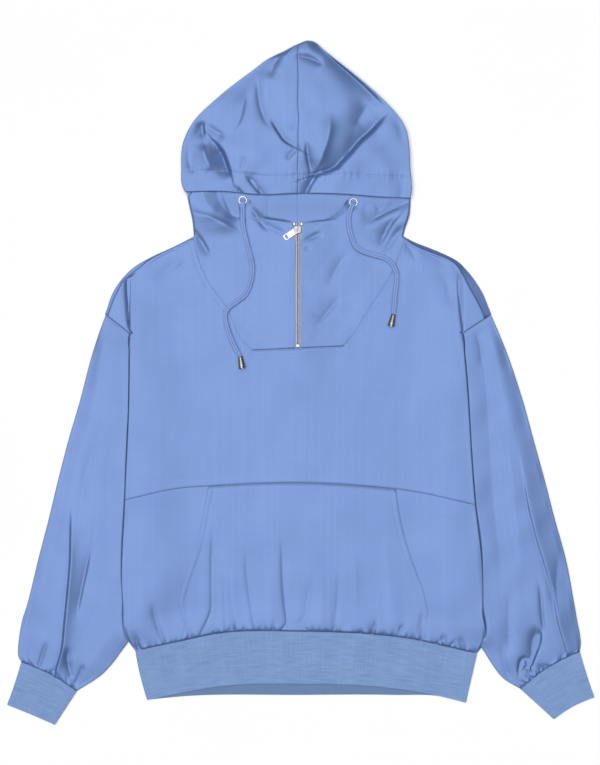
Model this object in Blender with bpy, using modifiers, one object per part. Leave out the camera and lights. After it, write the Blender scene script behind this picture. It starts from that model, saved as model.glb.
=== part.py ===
"""A hooded half-zip track jacket, laid flat on its back with the hood up and the front facing +Z.

The script works in millimetres and turns them into metres as each mesh is made. X runs across the
garment, Y from the hem band to the hood, and Z is 0 on the surface it lies on. The cloth lies in
layers: sleeves and back at the bottom, then the front, then the pocket and the brow of the hood.
Every panel is an open surface through rows of points, and Solidify gives it its wall.
"""

import math

import bmesh
import bpy
from mathutils import Matrix, Vector

MM = 0.001

# Walls and gaps
CLOTH = 1.5
RIB = 2.0
SEAM = 0.3  # between pieces that are sewn together
LAY = 0.4  # between layers that lie on each other
FOLD = 1.3  # radius of a flattened sleeve's edge
CORNER = 0.2  # keeps the outer corner of a fold off the surface

# Heights of the middle of each wall
BACK_MID = CLOTH / 2
FRONT_MID = 3.45
SLEEVE_TOP_MID = BACK_MID + 2 * FOLD
TUCK_LIFT = SLEEVE_TOP_MID + CLOTH / 2 + LAY  # what the body climbs to lie on a sleeve
POCKET_RISE = CLOTH + LAY
ZIP_RISE = 1.9
NECK_RISE = 1.0
SLEEVE_PUFF = 2.7
BROW_FOLD = 2.3
BROW_EDGE_MID = BACK_MID + 2 * BROW_FOLD
BROW_PUFF = 0.9

CENTRE = -3.0  # X of the zip and of the hood's middle seam

# Body outline, from the neck to the hem band: (y, x)
BACK_LEFT = ((212, -154), (202, -171), (184, -210), (168, -239), (151, -257), (136, -268), (98, -283),
             (70, -247), (-26, -248), (-171, -254), (-319, -257), (-376, -249), (-390, -239))
BACK_RIGHT = ((212, 150), (204, 164), (190, 199), (177, 226), (162, 242), (138, 260), (98, 278),
              (70, 237), (2, 242), (-174, 254), (-265, 264), (-332, 265), (-386, 263), (-393, 257))
FRONT_LEFT = ((206, -156), (178, -210), (161, -239), (141, -261), (120, -271), (97, -282),
              (70, -247), (-26, -248), (-171, -254), (-319, -257), (-376, -249), (-390, -239))
FRONT_RIGHT = ((206, 156), (190, 186), (173, 226), (155, 236), (115, 260), (97, 277),
               (70, 236), (2, 242), (-174, 254), (-265, 264), (-332, 265), (-386, 263), (-393, 257))
ARMHOLE_END = 70  # Y where the armhole seams run in under the chest
PLEAT_LEFT = -246.5  # X of the fold that laps over the left shoulder
PLEAT_RIGHT = ((168, 228), (133, 229), (90, 233), (70, 236))
PLEAT_TOP = 160

# Edge of the neck insert above, of the pocket below: (y, x)
INSERT_LEFT = ((206, -154), (168, -143), (142, -130), (113, -109), (62, -85), (46, -68), (-151, -133))
INSERT_RIGHT = ((206, 152), (158, 133), (139, 122), (106, 100), (74, 81), (52, 63), (-153, 139))
POCKET_LEFT = ((-151, -133), (-191, -141), (-239, -150), (-284, -164), (-318, -173), (-347, -170),
               (-376, -177))
POCKET_RIGHT = ((-153, 139), (-200, 146), (-271, 167), (-300, 178), (-333, 186), (-374, 177))

# Seams across the body: (x, y)
INSERT_FOOT = ((-68, 46), (63, 52))
WAIST_SEAM = ((-254, -171), (-173, -154), (-133, -151), (0, -146), (100, -151), (160, -158), (255, -178))
HEM_SEAM = ((-239, -390), (-173, -376), (-119, -365), (0, -362), (88, -365), (142, -370), (257, -394))
HEM_FRONT_EDGE = ((-222, -461), (-155, -447), (-119, -441), (0, -437), (110, -441), (188, -452),
                  (241, -465))
HEM_BACK_EDGE = ((-222, -461), (-170, -456), (0, -454), (133, -454), (210, -457), (241, -465))
HEM_LEFT = ((-390, -239), (-423, -230), (-461, -222))
HEM_RIGHT = ((-394, 257), (-419, 251), (-447, 244), (-465, 241))
NECK_BACK_Y = 200
NECK_BACK_DROP = 12

# Soft gathers over the hem band: (x at the seam, x at the top, y at the top, height)
GATHERS = ((-226, -222, -300, 1.0), (-173, -176, -310, 1.2), (-112, -128, -290, 1.3),
           (-62, -84, -260, 1.1), (-15, -28, -250, 1.3), (45, 48, -290, 1.0), (110, 104, -280, 1.3),
           (172, 168, -300, 1.1), (228, 222, -310, 1.0))
GATHER_WIDTH = 20

# Sleeves laid flat, from the armhole to the cuff: (x and y of the outer edge, x and y of the inner)
LEFT_SLEEVE = ((-282.4, 96.5, -247.6, 69.5), (-292, 70, -248.5, 56), (-304, 32, -243, 16),
               (-319, -26, -233, -40), (-336, -84, -233, -96), (-351, -142, -235, -150),
               (-365, -200, -226, -205), (-380, -258, -219, -260), (-394, -316, -228, -314),
               (-403, -345, -246, -348), (-408, -374, -262, -386), (-409, -396, -287, -424),
               (-404.5, -406, -324, -448))
RIGHT_SLEEVE = ((277.6, 96.4, 236.8, 69.4), (289, 70, 238.5, 56), (304, 32, 237, 16),
                (323, -26, 228, -40), (339, -84, 230, -96), (355, -142, 233, -150),
                (370, -200, 229, -205), (386, -258, 229, -260), (397, -316, 238, -314),
                (402, -345, 254, -350), (406, -365, 271, -388), (407.5, -380, 294, -426),
                (406, -391, 320, -445))
TUCK_END = 356  # how far below the origin a sleeve comes out from under the body
LEFT_CUFF_FOOT = (-425, -468, -355.5, -497)
RIGHT_CUFF_FOOT = (427, -457, 368, -489)
# Long valley in each sleeve: share of the way down at both ends, share of the way across, depth
SLEEVE_VALLEYS = ((0.45, 0.98, 0.42, 1.6), (0.55, 0.90, 0.66, 1.2))

# Hood outline: (y, x)
HOOD_LEFT = ((486, -14), (481, -20), (467, -48), (452, -68), (438, -87), (409, -122), (380, -152),
             (351, -168), (307, -172), (286, -171), (276, -167))
HOOD_RIGHT = ((491, 16), (481, 33), (467, 51), (438, 87), (409, 120), (380, 146), (365, 154),
              (351, 157), (307, 160), (278, 162), (266, 160))
HOOD_SIDE_LEFT = ((276, -165), (249, -159.5), (238, -157), (212, -154))
HOOD_SIDE_RIGHT = ((268, 161), (242, 159), (220, 152), (212, 150))
HOOD_PEAK = 487
BROW = ((-167, 276), (-116, 277), (-54, 272), (CENTRE, 274), (75, 272), (112, 269), (160, 267))

# Inner edge of each neck insert, from under the brow past the eyelet to the zip: (y, x)
THROAT_LEFT = ((288, -92), (270, -77), (252, -64), (242, -52), (238, -44), (234, -20), (232, -12),
               (226, -10.6), (222, -9.5), (212, -9.5), (204, -7.4), (40, -7.4))
THROAT_RIGHT = ((288, 84), (262, 67), (245, 52), (238, 42), (234, 35), (232, 6), (226, 4.4),
                (222, 2.9), (212, 2.9), (204, 1.4), (40, 1.4))
UNDER_BROW_Y = 258
UNDER_BROW_INSET = 7.0
INSERT_TOP_ROWS = (288, 274, 262, 252, 242, 238, 234, 232, 226, 216)

# Zip
CHAIN_WIDTH = 6.4
CHAIN_THICKNESS = 2.4
CHAIN_MID = 4.4
ZIP_TOP = 221
ZIP_FOOT = 55.5
TAPE = 0.7
TAPE_MID = 3.95
TAPE_WIDTH = 9.5
TAPE_REACH = (46.5, 231.5)
SLIDER_AT = (CENTRE - 0.6, 220.7)
SLIDER_SIZE = (10.7, 11.0)
PLATE_LOW = (1.9, 2.9)
PLATE_HIGH = (5.9, 7.1)
POST_SIZE = (2.4, 2.2)
STOP_SIZE = (3.4, 4.5, 2.0)
STOP_OUT = 5.4
STOP_Y = 229.2
FOOT_STOP_SIZE = (6.0, 5.0, 2.6)

# Bridge on the slider and the tab that hangs in it
BRIDGE_WIDTH = 1.0
BRIDGE_LEG = 0.8
BRIDGE_REACH = 2.75
BRIDGE_UNDER = 2.4  # height of the opening over the slider's top plate
BRIDGE_THICKNESS = 1.0
BITE = 0.4  # how far joined shapes reach into each other
HAIR = 0.01
TAB_THICKNESS = 1.2
TAB_WIDTH = 8.5
TAB_LENGTH = 23.0
TAB_EYE = (0.55, 5.0)  # from the axis to the near and far end of the eye
TAB_EYE_WIDTH = 6.4
TAB_SLOT = (19.0, 3.0, 5.5)  # middle, length along the tab, length across
TAB_HEADING = math.radians(213.4)  # which way the tab points on the cloth
TAB_AXIS_Z = PLATE_HIGH[1] + SEAM + TAB_THICKNESS / 2

# Eyelets and drawcords
EYELET_LEFT = (-83.0, 263.5)
EYELET_RIGHT = (77.5, 260.5)
EYELET_HOLE = 8.0
EYELET_BARREL = 9.4
EYELET_FLANGE = 13.5
EYELET_LIP = 0.9
CLOTH_HOLE = 10.2
CORD = 5.5
CORD_REST = 1.0  # above the cloth, which is gathered under the cords
# Routes over the cloth from the eyelet to the metal end: (x, y)
LEFT_CORD_ROUTE = ((-83, 251), (-83, 234), (-81, 220), (-77.5, 204), (-73, 186), (-69, 167), (-70.5, 147),
                   (-78, 128), (-91, 117), (-103, 108), (-108.5, 97), (-106.5, 83), (-101.5, 67), (-94, 50),
                   (-86.5, 37))
RIGHT_CORD_ROUTE = ((72.5, 248), (70.5, 238), (71, 226), (74, 212), (79, 199), (85, 192.5), (95, 187.5),
                    (109, 183.5), (121, 180), (131.5, 173), (138.5, 161.5), (140, 149), (137.5, 124),
                    (135.5, 98))
CORD_END_LENGTH = 17.5
CORD_END_RADII = (3.4, 4.8)

# Heights of the body's rows above the neck insert's foot, and how the rest is divided
UPPER_ROWS = (204, 190, 175, 161, 141, 120, 97, 83, 70)
CHEST_ROWS = 5
LOWER_ROWS = 8
SIDE_CELLS = 8
MIDDLE_CELLS = 8
SHOULDER_TIP = 20  # below this width a row's columns lie evenly


def clamp(value):
    return min(1.0, max(0.0, value))


def mix(a, b, share):
    return a + (b - a) * share


def ease(value, start, end):
    """0 at start, 1 at end, level at both."""
    t = clamp((value - start) / (end - start))
    return t * t * (3 - 2 * t)


def swell(distance, flat, reach):
    """1 out to flat on both sides, easing down to 0 at reach."""
    return ease(abs(distance), reach, flat)


def read(table, at):
    """The second column of a table at a place in its first, straight between the rows."""
    rows = sorted(table)
    if at <= rows[0][0]:
        return rows[0][1]
    for (a, value_a), (b, value_b) in zip(rows, rows[1:]):
        if at <= b:
            return mix(value_a, value_b, (at - a) / (b - a))
    return rows[-1][1]


def smooth(points, steps):
    """Points on a Catmull-Rom curve through the given ones, with a number of steps between two."""
    points = [Vector(p) for p in points]
    ends = [2 * points[0] - points[1], *points, 2 * points[-1] - points[-2]]
    found = []
    for a, b, c, d in zip(ends, ends[1:], ends[2:], ends[3:]):
        for step in range(steps):
            t = step / steps
            bend = (2 * a - 5 * b + 4 * c - d) * t * t + (3 * b - a - 3 * c + d) * t ** 3
            found.append(b + ((c - a) * t + bend) / 2)
    return [*found, points[-1]]


# Heights of the layers


def tuck_edge(side, y):
    """X of the inner edge of the sleeve that lies under the body."""
    sleeve = LEFT_SLEEVE if side < 0 else RIGHT_SLEEVE
    return read([(inner_y, inner_x) for _, _, inner_x, inner_y in sleeve], y)


def tuck_lift(x, y, start, full):
    """How far the body climbs over the tucked sleeves; it starts to at one Y and is up at the next."""
    side = -1 if x < 0 else 1
    inside = side * (tuck_edge(side, y) - x)
    down = ease(y, start, full) * ease(y, -TUCK_END - 32, -TUCK_END - 8)
    return TUCK_LIFT * down * ease(inside, 24, 2)


def back_mid(x, y):
    return BACK_MID + tuck_lift(x, y, ARMHOLE_END, ARMHOLE_END - 24)


def gathers(x, y):
    """Soft vertical folds that the hem band draws the front into."""
    height = 0.0
    for foot, top, top_y, rise in GATHERS:
        foot_y = read(HEM_SEAM, foot)
        share = clamp((y - foot_y) / (top_y - foot_y))
        height += rise * swell(x - mix(foot, top, share), 0, GATHER_WIDTH) * (1 - share)
    return height


def front_mid(x, y, on_shoulder=False):
    """Height of the front; the shoulder caps stay low where the chest laps over them."""
    height = FRONT_MID + ZIP_RISE * swell(x - CENTRE, 12, 60) * swell(y - 140, 105, 175)
    height += NECK_RISE * swell(x - CENTRE, 25, 95) * ease(y, 150, 198)
    if on_shoulder:
        return height
    return height + tuck_lift(x, y, PLEAT_TOP, ARMHOLE_END + 6) + gathers(x, y)


# The grid that the body's panels share


def insert_edge(side, y):
    table = INSERT_LEFT if side < 0 else INSERT_RIGHT
    pocket = POCKET_LEFT if side < 0 else POCKET_RIGHT
    return read(table, y) if y > -150 else read(pocket, y)


def side_columns(side, y, outline):
    """X of the columns between the body's edge and the neck insert or pocket."""
    edge = read(outline, y)
    inner = insert_edge(side, y) + side * SEAM
    if abs(edge - inner) < SHOULDER_TIP:
        return [mix(edge, inner, share / SIDE_CELLS) for share in range(SIDE_CELLS + 1)]
    if y > ARMHOLE_END:
        pleat = PLEAT_LEFT if side < 0 else read(PLEAT_RIGHT, y)
        lap = side * min(side * pleat, side * edge - 6)
        room = abs(lap - inner)
        steps = (lap + side * 1.2, lap - side * min(1.2, room / 9), lap - side * min(20, room / 3))
    else:
        tuck = side * min(side * tuck_edge(side, y), side * edge - 6) - side * 2
        steps = (tuck, tuck - side * 11, tuck - side * 22)
    left_over = SIDE_CELLS - 4
    rest = [mix(steps[-1], inner, (share + 1) / left_over) for share in range(left_over)]
    return [edge, mix(edge, steps[0], 0.5), *steps, *rest]


def body_y(row, x):
    """Y of a row: level over the neck insert's foot, then curved with the seams."""
    if row < len(UPPER_ROWS):
        return UPPER_ROWS[row]
    row -= len(UPPER_ROWS)
    foot = read(INSERT_FOOT, x)
    waist = read(WAIST_SEAM, x)
    if row <= CHEST_ROWS:
        return mix(foot, waist, row / CHEST_ROWS)
    return mix(waist, read(HEM_SEAM, x), (row - CHEST_ROWS) / LOWER_ROWS)


def body_row(row, left, right, shift=0.0):
    """(x, y) of the points of one row of the body, from the left edge to the right."""
    def settle(side, outline):
        found = []
        for number in range(SIDE_CELLS + 1):
            y = body_y(row, insert_edge(side, 0))
            for _ in range(4):
                x = side_columns(side, y, outline)[number]
                y = body_y(row, x)
            found.append((x, y + shift))
        return found

    start = settle(-1, left)
    end = settle(1, right)[::-1]
    between = []
    for cell in range(1, MIDDLE_CELLS):
        x = mix(start[-1][0], end[0][0], cell / MIDDLE_CELLS)
        between.append((x, body_y(row, x) + shift))
    return [*start, *between, *end]


WAIST_ROW = len(UPPER_ROWS) + CHEST_ROWS
HEM_ROW = WAIST_ROW + LOWER_ROWS
ALL_CELLS = 2 * SIDE_CELLS + MIDDLE_CELLS
MIDDLE = range(SIDE_CELLS, SIDE_CELLS + MIDDLE_CELLS)
LAPPED_COLUMNS = {0, 1, 2, ALL_CELLS - 2, ALL_CELLS - 1, ALL_CELLS}


# Making objects


def finish_material(name, colour, roughness, metallic=0.0):
    material = bpy.data.materials.new(name)
    material.use_nodes = True
    shader = material.node_tree.nodes["Principled BSDF"]
    shader.inputs["Base Color"].default_value = (*colour, 1.0)
    shader.inputs["Roughness"].default_value = roughness
    shader.inputs["Metallic"].default_value = metallic
    return material


def add_object(name, data, material, collection):
    piece = bpy.data.objects.new(name, data)
    data.materials.append(material)
    collection.objects.link(piece)
    return piece


def solidify(piece, wall):
    modifier = piece.modifiers.new("Wall", "SOLIDIFY")
    modifier.thickness = wall * MM
    modifier.offset = 0.0
    modifier.use_even_offset = True
    return modifier


def cloth(name, rows, material, collection, wall=CLOTH, ring=False, keep=None):
    """An open surface through rows of points with a wall, leaving out the cells that keep refuses."""
    bm = bmesh.new()
    grid = [[bm.verts.new(Vector(point) * MM) for point in row] for row in rows]
    across = len(rows[0])
    for i, (upper, lower) in enumerate(zip(grid, grid[1:])):
        for j in range(across if ring else across - 1):
            if keep is None or keep(i, j):
                k = (j + 1) % across
                bm.faces.new((upper[j], lower[j], lower[k], upper[k]))
    bmesh.ops.delete(bm, geom=[v for v in bm.verts if not v.link_faces], context="VERTS")
    mesh = bpy.data.meshes.new(name)
    bm.to_mesh(mesh)
    bm.free()
    piece = add_object(name, mesh, material, collection)
    solidify(piece, wall)
    return piece


def box(bm, low, high):
    """A box between two corners, added to a bmesh."""
    low, high = Vector(low) * MM, Vector(high) * MM
    place = Matrix.LocRotScale((low + high) / 2, None, high - low)
    return bmesh.ops.create_cube(bm, size=1.0, matrix=place)


def block(name, low, high, material, collection, bevel=0.0):
    """A box between two corners as an object, its edges rounded."""
    bm = bmesh.new()
    box(bm, low, high)
    mesh = bpy.data.meshes.new(name)
    bm.to_mesh(mesh)
    bm.free()
    piece = add_object(name, mesh, material, collection)
    if bevel:
        modifier = piece.modifiers.new("Rounded", "BEVEL")
        modifier.width = bevel * MM
        modifier.segments = 2
    return piece


def cut_or_join(piece, other, operation):
    modifier = piece.modifiers.new(other.name, "BOOLEAN")
    modifier.operation = operation
    modifier.object = other
    return modifier


def turned(name, profile, material, collection, sides):
    """A profile of (radius, z) points turned about Z, top to bottom down its outer side."""
    mesh = bpy.data.meshes.new(name)
    points = [(r * MM, 0.0, z * MM) for r, z in profile]
    last = len(points) - 1
    edges = [(i, i + 1) for i in range(last)]
    if profile[0][0] > 0:
        edges.append((last, 0))
    mesh.from_pydata(points, edges, [])
    piece = add_object(name, mesh, material, collection)
    screw = piece.modifiers.new("Turn", "SCREW")
    screw.steps = screw.render_steps = sides
    screw.use_merge_vertices = True
    screw.merge_threshold = 0.00001
    return piece


# Panels


def neckline(x):
    """Y of the seam between the back and the hood."""
    return NECK_BACK_Y + NECK_BACK_DROP * (x / BACK_LEFT[0][1]) ** 2


def build_back(finish, collection):
    across = [mix(BACK_LEFT[0][1], BACK_RIGHT[0][1], j / ALL_CELLS) for j in range(ALL_CELLS + 1)]
    rows = [[(x, neckline(x)) for x in across]]
    rows += [body_row(row, BACK_LEFT, BACK_RIGHT) for row in range(1, HEM_ROW + 1)]
    points = [[(x, y, back_mid(x, y)) for x, y in row] for row in rows]
    return cloth("back_panel", points, finish, collection)


def build_front_upper(finish, collection):
    rows = []
    for row in range(WAIST_ROW + 1):
        flat = body_row(row, FRONT_LEFT, FRONT_RIGHT, SEAM if row == WAIST_ROW else 0.0)
        lapped = LAPPED_COLUMNS if row < len(UPPER_ROWS) else set()
        rows.append([(x, y, front_mid(x, y, j in lapped)) for j, (x, y) in enumerate(flat)])

    def keep(row, cell):
        return row >= len(UPPER_ROWS) or cell not in MIDDLE

    return cloth("front_upper", rows, finish, collection, keep=keep)


def lower_rows():
    return [body_row(row, FRONT_LEFT, FRONT_RIGHT, -SEAM if row == WAIST_ROW else 0.0)
            for row in range(WAIST_ROW, HEM_ROW + 1)]


def build_front_lower(finish, collection):
    rows = [[(x, y, front_mid(x, y)) for x, y in row] for row in lower_rows()]
    return cloth("front_lower", rows, finish, collection)


def build_pocket(finish, collection):
    """The middle of the lower front's own points, moved out."""
    rows = [[(x, y, front_mid(x, y) + POCKET_RISE) for x, y in row[MIDDLE.start:MIDDLE.stop + 1]]
            for row in lower_rows()]
    return cloth("pocket", rows, finish, collection)


def flat_ring(outer, inner, upper, fold, wall, tops, lows=2):
    """One ring of a flattened tube: along the bottom, round the outer fold, and back over the top."""
    outer, inner = Vector(outer), Vector(inner)
    along = (inner - outer).normalized()
    inset = wall / 2 / math.cos(math.pi / 4)
    low = wall / 2
    start, end = outer + along * (inset + fold), inner - along * (inset + fold)
    ring = [(*end.lerp(start, j / lows), low if 0 < j < lows else low + CORNER) for j in range(lows + 1)]
    ring.append((*(outer + along * inset), low + fold))
    for share in tops:
        place = start.lerp(end, share)
        ring.append((*place, upper(share, place)))
    ring.append((*(inner - along * inset), low + fold))
    return ring


def sleeve_shares(body_edge, outer, inner):
    """Where the top's points lie across a sleeve: closer round the edge of the body over it."""
    share = clamp((body_edge - outer) / (inner - outer))
    share = min(0.94, max(0.6, share))
    room = 16 / abs(inner - outer)
    return (0, (share - room) * 0.2, (share - room) * 0.45, (share - room) * 0.72, share - room,
            share, 1)


def build_sleeve(side, table, finish, collection):
    name = "sleeve_left" if side < 0 else "sleeve_right"
    outline = FRONT_LEFT if side < 0 else FRONT_RIGHT
    outer = smooth([(x, y) for x, y, _, _ in table], 2)
    inner = smooth([(x, y) for _, _, x, y in table], 2)
    rings = []
    for number, (out, into) in enumerate(zip(outer, inner)):
        down = number / (len(outer) - 1)
        edge = read(outline, into.y) if into.y > -TUCK_END - 20 else into.x
        tops = sleeve_shares(edge + side, out.x, into.x)

        def upper(share, place, down=down, tops=tops):
            puff = ease(share, tops[-2], tops[-3] - 0.18) * ease(share, -0.02, 0.3)
            height = SLEEVE_TOP_MID + SLEEVE_PUFF * puff * ease(down, 0.0, 0.12) * ease(down, 1.0, 0.93)
            for start, end, across, depth in SLEEVE_VALLEYS:
                lengthwise = swell(down - (start + end) / 2, 0, (end - start) / 2)
                height -= depth * puff * lengthwise * swell(share - across * tops[-2], 0, 0.22)
            return height

        rings.append(flat_ring(out, into, upper, FOLD, CLOTH, tops))
    return cloth(name, rings, finish, collection, ring=True)


def build_cuff(side, table, foot, finish, collection):
    """A rib tube from the sleeve's last section, a seam's gap away, to its own foot."""
    name = "cuff_left" if side < 0 else "cuff_right"
    seam = table[-1]
    top_out, top_in = Vector(seam[:2]), Vector(seam[2:])
    foot_out, foot_in = Vector(foot[:2]), Vector(foot[2:])
    down = ((foot_out + foot_in) - (top_out + top_in)).normalized() * (SEAM + 0.2)
    fold = (SLEEVE_TOP_MID + 0.2 - RIB / 2) / 2
    rings = []
    for number in range(4):
        share = number / 3
        out = (top_out + down).lerp(foot_out, share)
        into = (top_in + down).lerp(foot_in, share)

        def upper(share, place):
            return RIB / 2 + 2 * fold

        rings.append(flat_ring(out, into, upper, fold, RIB, (0, 0.25, 0.5, 0.75, 1)))
    return cloth(name, rings, finish, collection, wall=RIB, ring=True)


def build_hem_band(finish, collection):
    """A rib tube whose front and back edges differ, so that the back shows below the front."""
    fold = 1.25
    inset = RIB / 2 / math.cos(math.pi / 4)
    seam = body_row(HEM_ROW, FRONT_LEFT, FRONT_RIGHT, -SEAM - 0.3)
    rings = []
    for number in range(5):
        share = number / 4
        left = mix(HEM_LEFT[0][1], HEM_LEFT[-1][1], share) + inset
        right = mix(HEM_RIGHT[0][1], HEM_RIGHT[-1][1], share) - inset

        def layer(edge, share=share, left=left, right=right):
            found = []
            for x, y in seam:
                across = (x - seam[0][0]) / (seam[-1][0] - seam[0][0])
                x = mix(left + fold, right - fold, across)
                found.append((x, mix(y, read(edge, x), share)))
            return found

        front, back = layer(HEM_FRONT_EDGE), layer(HEM_BACK_EDGE)[::-1]
        corners = [RIB / 2 + (CORNER if j in (0, len(back) - 1) else 0) for j in range(len(back))]
        ring = [(left, front[0][1], RIB / 2 + fold)]
        ring += [(x, y, RIB / 2 + 2 * fold) for x, y in front]
        ring += [(right, front[-1][1], RIB / 2 + fold)]
        ring += [(x, y, z) for (x, y), z in zip(back, corners)]
        rings.append(ring)
    return cloth("hem_band", rings, finish, collection, wall=RIB, ring=True)


def build_hood(side, finish, collection):
    """Half the hood: its brow lies on top, folds over at the outline, and the back runs to the neck."""
    name = "hood_left" if side < 0 else "hood_right"
    outline = HOOD_LEFT if side < 0 else HOOD_RIGHT
    lower = HOOD_SIDE_LEFT if side < 0 else HOOD_SIDE_RIGHT
    inset = CLOTH / 2 / math.cos(math.pi / 4)
    middle = CENTRE + side * SEAM / 2
    neck_y = lower[-1][0] + SEAM
    brow_rows, side_rows = 9, 3
    shares = (0, 0.22, 0.44, 0.66, 0.86, 1)
    rows = []
    for number in range(brow_rows + side_rows + 1):
        row = []
        on_side = number > brow_rows
        down = clamp(number / brow_rows)
        top = HOOD_PEAK if side < 0 else HOOD_PEAK + 4
        for layer in ("brow", "back"):
            edge_x = read(outline, mix(top, read(BROW, side * 165), down ** 1.25))
            if on_side:
                edge_x = read(lower, mix(lower[0][0], neck_y, (number - brow_rows) / side_rows))
            fold_x = edge_x - side * inset
            start = fold_x - side * BROW_FOLD
            points = []
            for share in shares if layer == "brow" else (1, 0.5, 0):
                x = mix(middle, start, share)
                y = mix(mix(top, HOOD_PEAK, abs(x - start) / 60) if side > 0 else top,
                        read(BROW, x), down ** 1.25)
                if on_side:
                    y = mix(read(BROW, x), neckline(x) + 2 * SEAM, (number - brow_rows) / side_rows)
                puff = BROW_PUFF * swell(share, 0.2, 0.95)
                corner = CORNER if share == 1 and not on_side else 0
                z = BROW_EDGE_MID + puff if layer == "brow" else BACK_MID + corner
                points.append((x, y, z))
            if layer == "brow":
                points.append((fold_x, points[-1][1], BACK_MID + BROW_FOLD))
            row += points
        rows.append(row)

    def keep(row, cell):
        return row < brow_rows or cell >= len(shares) + 1

    return cloth(name, rows, finish, collection, keep=keep)


def build_neck_insert(side, finish, collection):
    """The hood's lower side, running on down into the tapered insert beside the zip."""
    name = "neck_insert_left" if side < 0 else "neck_insert_right"
    upper = HOOD_SIDE_LEFT if side < 0 else HOOD_SIDE_RIGHT
    throat = THROAT_LEFT if side < 0 else THROAT_RIGHT
    cells = 5
    rows = []
    for y in (*INSERT_TOP_ROWS, *UPPER_ROWS):
        if y > UPPER_ROWS[0]:
            outer = read(upper, y) - side * (UNDER_BROW_INSET if y > UNDER_BROW_Y else CLOTH)
        else:
            outer = insert_edge(side, y)
        inner = read(throat, y)
        rows.append([(x, y, front_mid(x, y)) for x in
                     [mix(outer, inner, j / cells) for j in range(cells + 1)]])
    foot = []
    for j in range(cells + 1):
        x = mix(INSERT_FOOT[0 if side < 0 else 1][0], throat[-1][1], j / cells)
        y = read(INSERT_FOOT, x) + SEAM
        foot.append((x, y, front_mid(x, y)))
    rows.append(foot)
    return cloth(name, rows, finish, collection)


# Zip


def build_zip(metal, finish, collection):
    half = CHAIN_WIDTH / 2
    block("zip_chain", (CENTRE - half, ZIP_FOOT, CHAIN_MID - CHAIN_THICKNESS / 2),
          (CENTRE + half, ZIP_TOP, CHAIN_MID + CHAIN_THICKNESS / 2), metal, collection)
    for side, name in ((-1, "left"), (1, "right")):
        near = CENTRE + side * (half + SEAM)
        far = near + side * TAPE_WIDTH
        low = (min(near, far), TAPE_REACH[0], TAPE_MID - TAPE / 2)
        high = (max(near, far), TAPE_REACH[1], TAPE_MID + TAPE / 2)
        block(f"zip_tape_{name}", low, high, finish, collection)
        width, length, height = STOP_SIZE
        x = CENTRE + side * STOP_OUT
        base = TAPE_MID + TAPE / 2 + SEAM
        block(f"zip_stop_{name}", (x - width / 2, STOP_Y - length / 2, base),
              (x + width / 2, STOP_Y + length / 2, base + height), metal, collection, bevel=0.3)
    width, length, height = FOOT_STOP_SIZE
    block("zip_stop_foot", (CENTRE - width / 2, ZIP_FOOT - SEAM - length, CHAIN_MID - height / 2),
          (CENTRE + width / 2, ZIP_FOOT - SEAM, CHAIN_MID + height / 2), metal, collection, bevel=0.4)


def build_slider(metal, collection, cutters):
    """Two plates joined by a post at the nose, with a bridge on top for the tab."""
    x, y = SLIDER_AT
    half_w, half_l = SLIDER_SIZE[0] / 2, SLIDER_SIZE[1] / 2
    slider = block("zip_slider", (x - half_w, y - half_l, PLATE_HIGH[0]),
                   (x + half_w, y + half_l, PLATE_HIGH[1]), metal, collection, bevel=0.3)
    under = PLATE_HIGH[1] + BRIDGE_UNDER
    leg = BRIDGE_LEG / 2
    wide = BRIDGE_WIDTH / 2
    post = POST_SIZE[0] / 2
    nose = y + half_l
    joined = [
        ((x - half_w, y - half_l, PLATE_LOW[0]), (x + half_w, y + half_l, PLATE_LOW[1])),
        ((x - post, nose - POST_SIZE[1], PLATE_LOW[1] - BITE),
         (x + post, nose - BITE, PLATE_HIGH[0] + BITE)),
        ((x - wide + HAIR, y - BRIDGE_REACH - leg + HAIR, under),
         (x + wide - HAIR, y + BRIDGE_REACH + leg - HAIR, under + BRIDGE_THICKNESS)),
    ]
    for middle in (y - BRIDGE_REACH, y + BRIDGE_REACH):
        low_corner = (x - wide, middle - leg, PLATE_HIGH[1] - BITE)
        joined.append((low_corner, (x + wide, middle + leg, under + BITE)))
    for number, (low, high) in enumerate(joined):
        cut_or_join(slider, block(f"slider_piece_{number}", low, high, metal, cutters), "UNION")
    return slider


def build_tab(metal, collection, cutters):
    """A flat tab on its hinge, modelled along its own X with the axis along its Y."""
    tab = block("pull_tab", (-0.55, -TAB_WIDTH / 2, -TAB_THICKNESS / 2),
                (TAB_LENGTH, TAB_WIDTH / 2, TAB_THICKNESS / 2), metal, collection, bevel=0.2)
    slot_x, slot_along, slot_across = TAB_SLOT
    openings = (
        ((TAB_EYE[0], -TAB_EYE_WIDTH / 2, -3), (TAB_EYE[1], TAB_EYE_WIDTH / 2, 3)),
        ((slot_x - slot_along / 2, -slot_across / 2, -3), (slot_x + slot_along / 2, slot_across / 2, 3)),
    )
    place = Matrix.Translation(Vector((*SLIDER_AT, TAB_AXIS_Z)) * MM) @ Matrix.Rotation(TAB_HEADING, 4, "Z")
    tab.matrix_world = place
    for number, (low, high) in enumerate(openings):
        cutter = block(f"tab_opening_{number}", low, high, metal, cutters)
        cutter.matrix_world = place
        cut_or_join(tab, cutter, "DIFFERENCE")
    return tab


# Eyelets and cords


def eyelet_place(spot):
    return Vector((*spot, front_mid(*spot)))


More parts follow.
